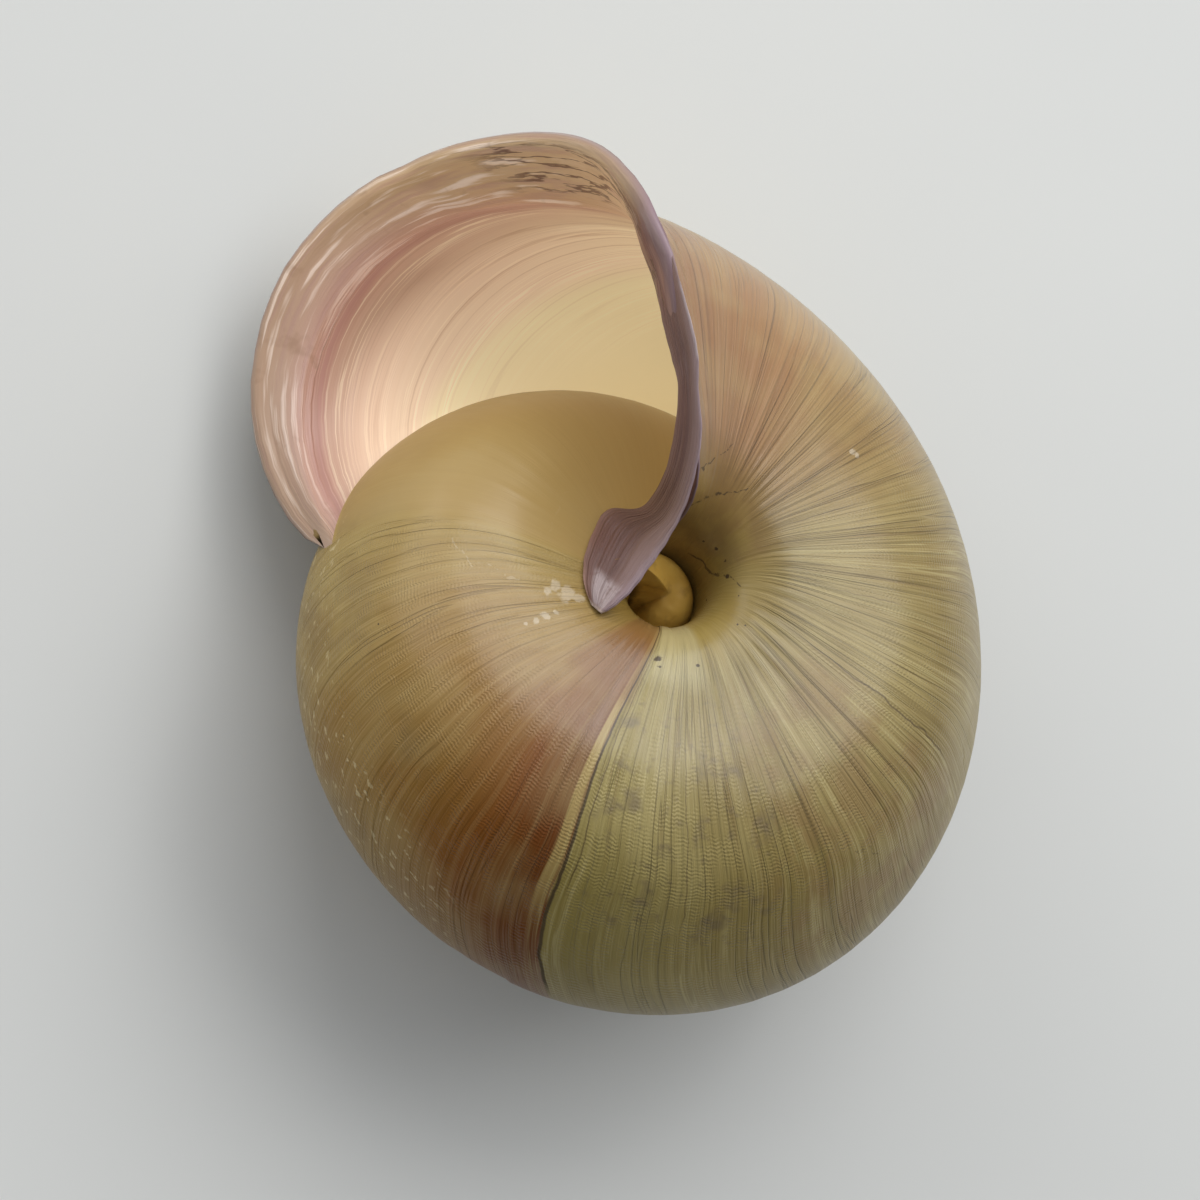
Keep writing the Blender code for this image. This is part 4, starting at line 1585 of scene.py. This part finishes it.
        def paths(marks: tuple[Line, ...], strength: float) -> Socket:
            """Mask of short lines, this strong."""
            mask = tree.most(tree.group(self.effects.path, {
                "Vector": place, "From": tuple(self.rule.point(*start)), "To": tuple(self.rule.point(*end)),
                "Half Width": half_width * MM}).outputs[0] for start, end, half_width in marks)
            return tree.times(mask, strength)

        pale = tree.most((spots(self.marks.scraps), paths(self.marks.scratches, 0.45)))
        dark = tree.most((spots(self.marks.specks), paths(self.marks.lines, 0.85)))
        return pale, tree.most((dark, paths(self.marks.loops, 0.4)))

    def relief(self, tree: ShaderTree, growth: Socket, share: Socket, calm: Socket,
               lines: bpy.types.Node, fine: bpy.types.Node) -> Socket:
        """Fine relief of the growth lines and of the striae that cross them.

        Args:
            tree: The material's tree.
            growth: Growth's socket.
            share: Share's socket.
            calm: 0 where the wall is smooth.
            lines: Coarse growth lines.
            fine: Fine growth lines.

        Returns:
            The height's socket.
        """
        striae = tree.group(self.effects.striae, {"Growth": growth, "Share": share, "Count": 160.0}).outputs[0]
        strong = tree.times(tree.rise(share, 0.30, 0.66), tree.rise(growth, -262.0, -230.0))
        ribs = tree.scaled(strong, 0.75, 0.35)
        height = tree.times(lines.outputs["Height"], ribs)
        height = tree.scaled(fine.outputs["Height"], 0.32, height)
        height = tree.minus(height, tree.times(lines.outputs["Dark"], 0.10))
        height = tree.times(height, tree.scaled(calm, 0.92, 0.08))
        weave = tree.times(striae, tree.window(share, 0.20, 0.78, 0.05), tree.rise(growth, -50.0, -130.0))
        return tree.plus(height, tree.times(weave, tree.times(calm, 0.018)))


@dataclass(frozen=True)
class GlazeFinish(Finish):
    """The throat and the lip's face: porcelain-like glaze, banded along the lip, with painted highlight streaks on
    the band and a painted glow over the band and the throat.
    """

    inwards: Stops = (
        (-0.5, paint(126, 104, 104)), (-0.02, paint(120, 100, 106)), (0.08, paint(150, 124, 104)),
        (0.4, paint(168, 140, 106)), (1.6, paint(168, 138, 104)), (2.6, paint(162, 124, 96)),
        (3.0, paint(148, 104, 84)), (3.5, paint(134, 88, 72)), (4.2, paint(164, 134, 108)),
        (6.5, paint(180, 160, 130)), (9.0, paint(187, 173, 140)), (12.0, paint(191, 178, 144)),
        (19.0, paint(187, 172, 134)), (33.0, paint(146, 124, 78)))
    # Strength of the painted glow: emission that stands in for light coming through the thin wall.
    glow: float = 0.54
    pillar: Stops = (
        (-0.5, paint(134, 114, 124)), (0.02, paint(130, 108, 116)), (0.22, paint(118, 90, 90)),
        (0.5, paint(108, 74, 66)), (1.4, paint(112, 78, 66)), (3.2, paint(108, 74, 60)),
        (5.0, paint(166, 138, 104)))

    def build(self) -> bpy.types.Material:
        """Make the material."""
        material, tree, shader = self.start()
        growth, share, away = self.read(tree, "growth")
        place = tree.place()
        drift = tree.stretched(away, 0.5, share, 9.0, 3.0)
        moved = tree.times(tree.minus(drift, 0.5), tree.rise(away, 0.2, 2.0))
        colour = tree.ramp(tree.scaled(moved, 1.1, away), self.inwards)
        column = tree.times(tree.rise(share, 0.55, 0.63), tree.rise(away, 6.0, 4.0))
        colour = tree.blend(column, colour, tree.ramp(tree.scaled(moved, 0.8, away), self.pillar))
        band = tree.window(away, 0.18, 3.0, 0.14)
        streak = tree.stretched(away, 3.4, share, 9.0, 3.0, 0.6)
        dusky = tree.times(tree.rise(streak, 0.5, 0.34), band)
        colour = tree.tint(colour, paint(150, 114, 98), dusky, 0.55)
        mauve = tree.times(tree.rise(share, 0.30, 0.16), tree.rise(away, 4.0, 2.0))
        colour = tree.tint(colour, paint(140, 112, 104), mauve, 0.5)
        # Painted highlight: pale streaks on the lip's band, strongest on its side towards the suture.
        highlight_side = tree.window(share, 0.05, 0.36, 0.07)
        shine = tree.times(tree.rise(streak, 0.52, 0.64), band, tree.scaled(highlight_side, 0.5, 0.1))
        colour = tree.tint(colour, paint(212, 194, 180), shine)
        pink = tree.times(tree.rise(share, 0.42, 0.14), tree.window(away, 2.8, 10.0, 2.0))
        colour = tree.tint(colour, paint(186, 146, 142), pink, 0.35)
        lines = self.growth_lines(tree, growth, share, 2.4)
        fine = self.growth_lines(tree, growth, share, 0.9)
        deep = tree.times(tree.rise(away, 2.6, 3.8), tree.rise(away, 17.0, 8.0))
        for effect, strength in ((lines, 0.42), (fine, 0.22)):
            colour = tree.tint(colour, paint(136, 98, 74), effect.outputs["Dark"], deep, strength)
            colour = tree.tint(colour, paint(220, 204, 176), effect.outputs["Pale"], deep, strength)
        broken = tree.stretched(away, 2.6, share, 6.0, 4.0, 0.55, 4.0)
        cracked = tree.times(tree.near(broken, 0.5, 0.026, 0.008), tree.window(away, 0.7, 1.8, 0.3),
                             tree.window(share, 0.38, 0.68, 0.07))
        colour = tree.tint(colour, paint(84, 54, 38), cracked, 0.85)
        colour = tree.tint(colour, paint(126, 96, 74), self.smudge(tree, place, 700.0, 0.35), band, 0.5)
        tree.feed(shader.inputs["Base Color"], colour)
        # Painted glow: the glaze emits its own colour, most deep in the throat and along the top of the band,
        # standing in for light through the thin wall.
        painted_glow_top = tree.scaled(tree.window(share, 0.20, 0.52, 0.12), 0.55, 0.15)
        lit = tree.times(tree.most((tree.rise(away, 3.2, 8.0), painted_glow_top)), tree.rise(away, 40.0, 24.0),
                         tree.rise(away, 0.0, 0.8))
        tree.feed(shader.inputs["Emission Color"], tree.blend(lit, BLACK, colour))
        shader.inputs["Emission Strength"].default_value = self.glow
        material.cycles.emission_sampling = "NONE"
        height = tree.times(lines.outputs["Height"], tree.times(deep, 0.5))
        height = tree.plus(height, tree.times(streak, tree.times(band, 0.6)))
        height = tree.minus(height, tree.times(cracked, 0.5))
        self.raised(tree, shader, height, 0.14 * MM, 1.0)
        return material


@dataclass(frozen=True)
class FoldFinish(Finish):
    """The reflected strip and fold: mauve-grey nacre, with painted shade in its hollow and painted highlights near
    its tip and on its rim.
    """

    over: Stops = (
        (-1.0, paint(134, 102, 88)), (-0.75, paint(112, 80, 70)), (-0.1, paint(104, 74, 66)),
        (0.3, paint(116, 90, 84)), (0.7, paint(136, 112, 110)), (1.0, paint(150, 130, 136)))

    def build(self) -> bpy.types.Material:
        """Make the material."""
        material, tree, shader = self.start()
        along, across, _ = self.read(tree, "fold")
        place = tree.place()
        streak = tree.stretched(along, 4.0, across, 5.0, 4.0, 0.6)
        colour = tree.ramp(tree.scaled(tree.minus(streak, 0.5), 0.8, across), self.over)
        top = tree.rise(along, 0.34, 0.12)
        colour = tree.tint(colour, paint(142, 104, 88), top, 0.35)
        # Painted shade in the hollow of the spoon.
        hollow = tree.times(tree.window(along, 0.74, 0.86, 0.07), tree.window(across, -0.85, 0.15, 0.3))
        colour = tree.tint(colour, paint(92, 64, 60), hollow, 0.6)
        # Painted highlights: a patchy sheen near the tip of the spoon and a glint along the rim high on the strip.
        shine = tree.times(tree.window(along, 0.885, 0.96, 0.03), tree.window(across, -0.35, 0.55, 0.25))
        highlight_patches = self.smudge(tree, place, 1300.0, 0.85)
        glint = tree.times(tree.window(along, 0.19, 0.33, 0.02), tree.rise(across, 0.72, 0.88))
        bright = tree.math("MAXIMUM", tree.times(shine, highlight_patches), glint)
        colour = tree.tint(colour, paint(190, 176, 178), bright, 0.55)
        colour = tree.tint(colour, paint(208, 190, 176), tree.rise(along, 0.965, 0.995), 0.6)
        groove = tree.stretched(along, 3.0, across, 11.0)
        line = tree.times(tree.near(groove, 0.5, 0.05, 0.01), tree.rise(across, 0.6, 0.1))
        colour = tree.tint(colour, paint(80, 54, 48), line, 0.45)
        colour = tree.tint(colour, paint(70, 50, 46), self.smudge(tree, place, 1700.0, 0.22), 0.55)
        tree.feed(shader.inputs["Base Color"], colour)
        height = tree.plus(groove, tree.times(streak, 0.5))
        self.raised(tree, shader, height, 0.14 * MM, 0.8)
        return material


@dataclass(frozen=True)
class KnobFinish(Finish):
    """The knob in the umbilicus: smooth ochre with dark patches, darker round its foot."""

    def build(self) -> bpy.types.Material:
        """Make the material."""
        material, tree, shader = self.start()
        _, height, _ = self.read(tree, "growth")
        place = tree.place()
        cloud = tree.noise(place, 520.0, 3.0, 0.6)
        colour = tree.blend(cloud, paint(156, 114, 40), paint(190, 156, 76))
        uneven = tree.scaled(tree.minus(cloud, 0.5), 0.5, height)
        # Darker round the knob's foot.
        colour = tree.tint(colour, paint(60, 38, 18), tree.rise(uneven, 0.42, 0.12), 0.8)
        colour = tree.tint(colour, paint(84, 56, 26), self.smudge(tree, place, 1100.0, 0.45), 0.4)
        tree.feed(shader.inputs["Base Color"], colour)
        self.raised(tree, shader, cloud, 0.3 * MM, 0.7)
        return material


# Studio


@dataclass(frozen=True)
class Lamp:
    """A soft square lamp that looks at the shell.

    It lies far metres away along way, which the camera sees as right, up and towards itself.
    """

    name: str
    way: tuple[float, float, float]
    far: float
    size: float
    power: float
    colour: tuple[float, float, float]
    aim: tuple[float, float, float] = (0.0, 0.0, 10.0 * MM)

    def place(self, turn: Matrix) -> None:
        """Add it to the scene.

        Args:
            turn: The camera's turn.
        """
        light = bpy.data.lights.new(self.name, "AREA")
        light.size, light.energy, light.color = self.size, self.power, self.colour
        lamp = new_object(self.name, light)
        direction = (turn @ Vector(self.way)).normalized()
        lamp.location = Vector(self.aim) + self.far * direction
        lamp.rotation_euler = direction.to_track_quat("Z", "Y").to_euler()


@dataclass(frozen=True)
class Studio:
    """Floor, light and camera. Its places are given in the coil's frame, in millimetres."""

    rule: GrowthRule
    camera_place: tuple[float, float, float] = (-37.279, -34.276, 91.062)
    camera_back: tuple[float, float, float] = (-0.36962, -0.38001, 0.84792)
    camera_up: tuple[float, float, float] = (-0.08319, 0.92242, 0.37713)
    lens: float = 70.1
    room_low: Colour = (0.06, 0.06, 0.06, 1.0)
    room_high: Colour = (0.52, 0.54, 0.56, 1.0)
    room_up: tuple[float, float, float] = (0.25, 0.90, 0.35)
    clip: tuple[float, float] = (0.005, 10.0)
    floor_size: float = 1.6
    floor_shades: tuple[Colour, Colour] = (paint(194, 195, 194), paint(200, 201, 199))
    floor_roughness: float = 0.75
    lamps: tuple[Lamp, ...] = (
        Lamp("window", (0.30, 0.76, 0.56), 0.54, 0.38, 1.3, (1.0, 0.99, 0.97)),
        Lamp("ceiling", (-0.50, 0.78, 0.46), 0.60, 0.50, 1.1, (1.0, 0.98, 0.95)),
        Lamp("side_window", (0.72, 0.42, 0.57), 0.34, 0.22, 0.40, (1.0, 0.99, 0.97)))

    def frame_of(self) -> Matrix:
        """The camera's turn, as the shell lies."""
        back = Vector(self.camera_back).normalized()
        right = Vector(self.camera_up).cross(back).normalized()
        up = back.cross(right)
        return self.rule.to_rest().to_3x3() @ Matrix((right, up, back)).transposed()

    def build(self) -> None:
        """Make the floor, the lights and the camera."""
        scene = bpy.context.scene
        scene.view_settings.view_transform = "Standard"
        scene.view_settings.look = "None"
        turn = self.frame_of()
        camera = bpy.data.cameras.new("camera")
        camera.lens = self.lens
        camera.sensor_width = SENSOR
        camera.clip_start, camera.clip_end = self.clip
        eye = new_object("camera", camera)
        eye.matrix_world = Matrix.Translation(self.rule.to_rest() @ (Vector(self.camera_place) * MM)) @ turn.to_4x4()
        scene.camera = eye
        self.room(turn)
        for lamp in self.lamps:
            lamp.place(turn)
        self.floor()

    def room(self, turn: Matrix) -> None:
        """Add the room's own light, which is brighter towards the top of the picture.

        Args:
            turn: The camera's turn.
        """
        world = bpy.data.worlds.new("studio")
        world.use_nodes = True
        tree = ShaderTree(world.node_tree)
        look = tree.add("ShaderNodeTexCoord").outputs["Generated"]
        high = tree.vector("DOT_PRODUCT", look, tuple(turn @ Vector(self.room_up).normalized()))
        light = tree.blend(tree.rise(high, -0.6, 0.8), self.room_low, self.room_high)
        background = world.node_tree.nodes["Background"]
        tree.feed(background.inputs["Color"], light)
        bpy.context.scene.world = world

    def floor(self) -> None:
        """Add the plain pale floor."""
        half = self.floor_size / 2.0
        mesh = bpy.data.meshes.new("floor")
        mesh.from_pydata([(-half, -half, 0.0), (half, -half, 0.0), (half, half, 0.0), (-half, half, 0.0)], [],
                         [(0, 1, 2, 3)])
        material = bpy.data.materials.new("pale_floor")
        material.use_nodes = True
        shader = material.node_tree.nodes["Principled BSDF"]
        tree = ShaderTree(material.node_tree)
        grain = tree.noise(tree.place(), 40.0)
        tree.feed(shader.inputs["Base Color"], tree.blend(grain, *self.floor_shades))
        shader.inputs["Roughness"].default_value = self.floor_roughness
        mesh.materials.append(material)
        new_object("floor", mesh)


def main() -> None:
    """Build the shell's pieces in order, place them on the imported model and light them."""
    logging.basicConfig(level=logging.INFO, format="%(name)s: %(message)s")
    rule, lip = GrowthRule(), Lip()
    effects = SharedEffects.build()
    skin = SkinFinish(effects, "shell_skin", roughness=0.36, coat=0.75, shine=0.3, rule=rule).build()
    glaze = GlazeFinish(effects, "mouth_glaze", roughness=0.34, coat=0.15, shine=0.5).build()
    nacre = FoldFinish(effects, "fold_nacre", roughness=0.42, coat=0.1, shine=0.4).build()
    knob = KnobFinish(effects, "umbilicus_knob", roughness=0.40, coat=0.1, shine=0.5).build()
    coil = ShellCoil(rule, lip).build(skin, glaze, knob)
    fold = UmbilicalFold(rule).build(nacre)
    for piece in (coil, fold):
        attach(piece, "root")
        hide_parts("shell")
        LOG.info("%s: %d faces", piece.name, len(piece.data.polygons))
    Studio(rule).build()


if __name__ == "__main__":
    main()
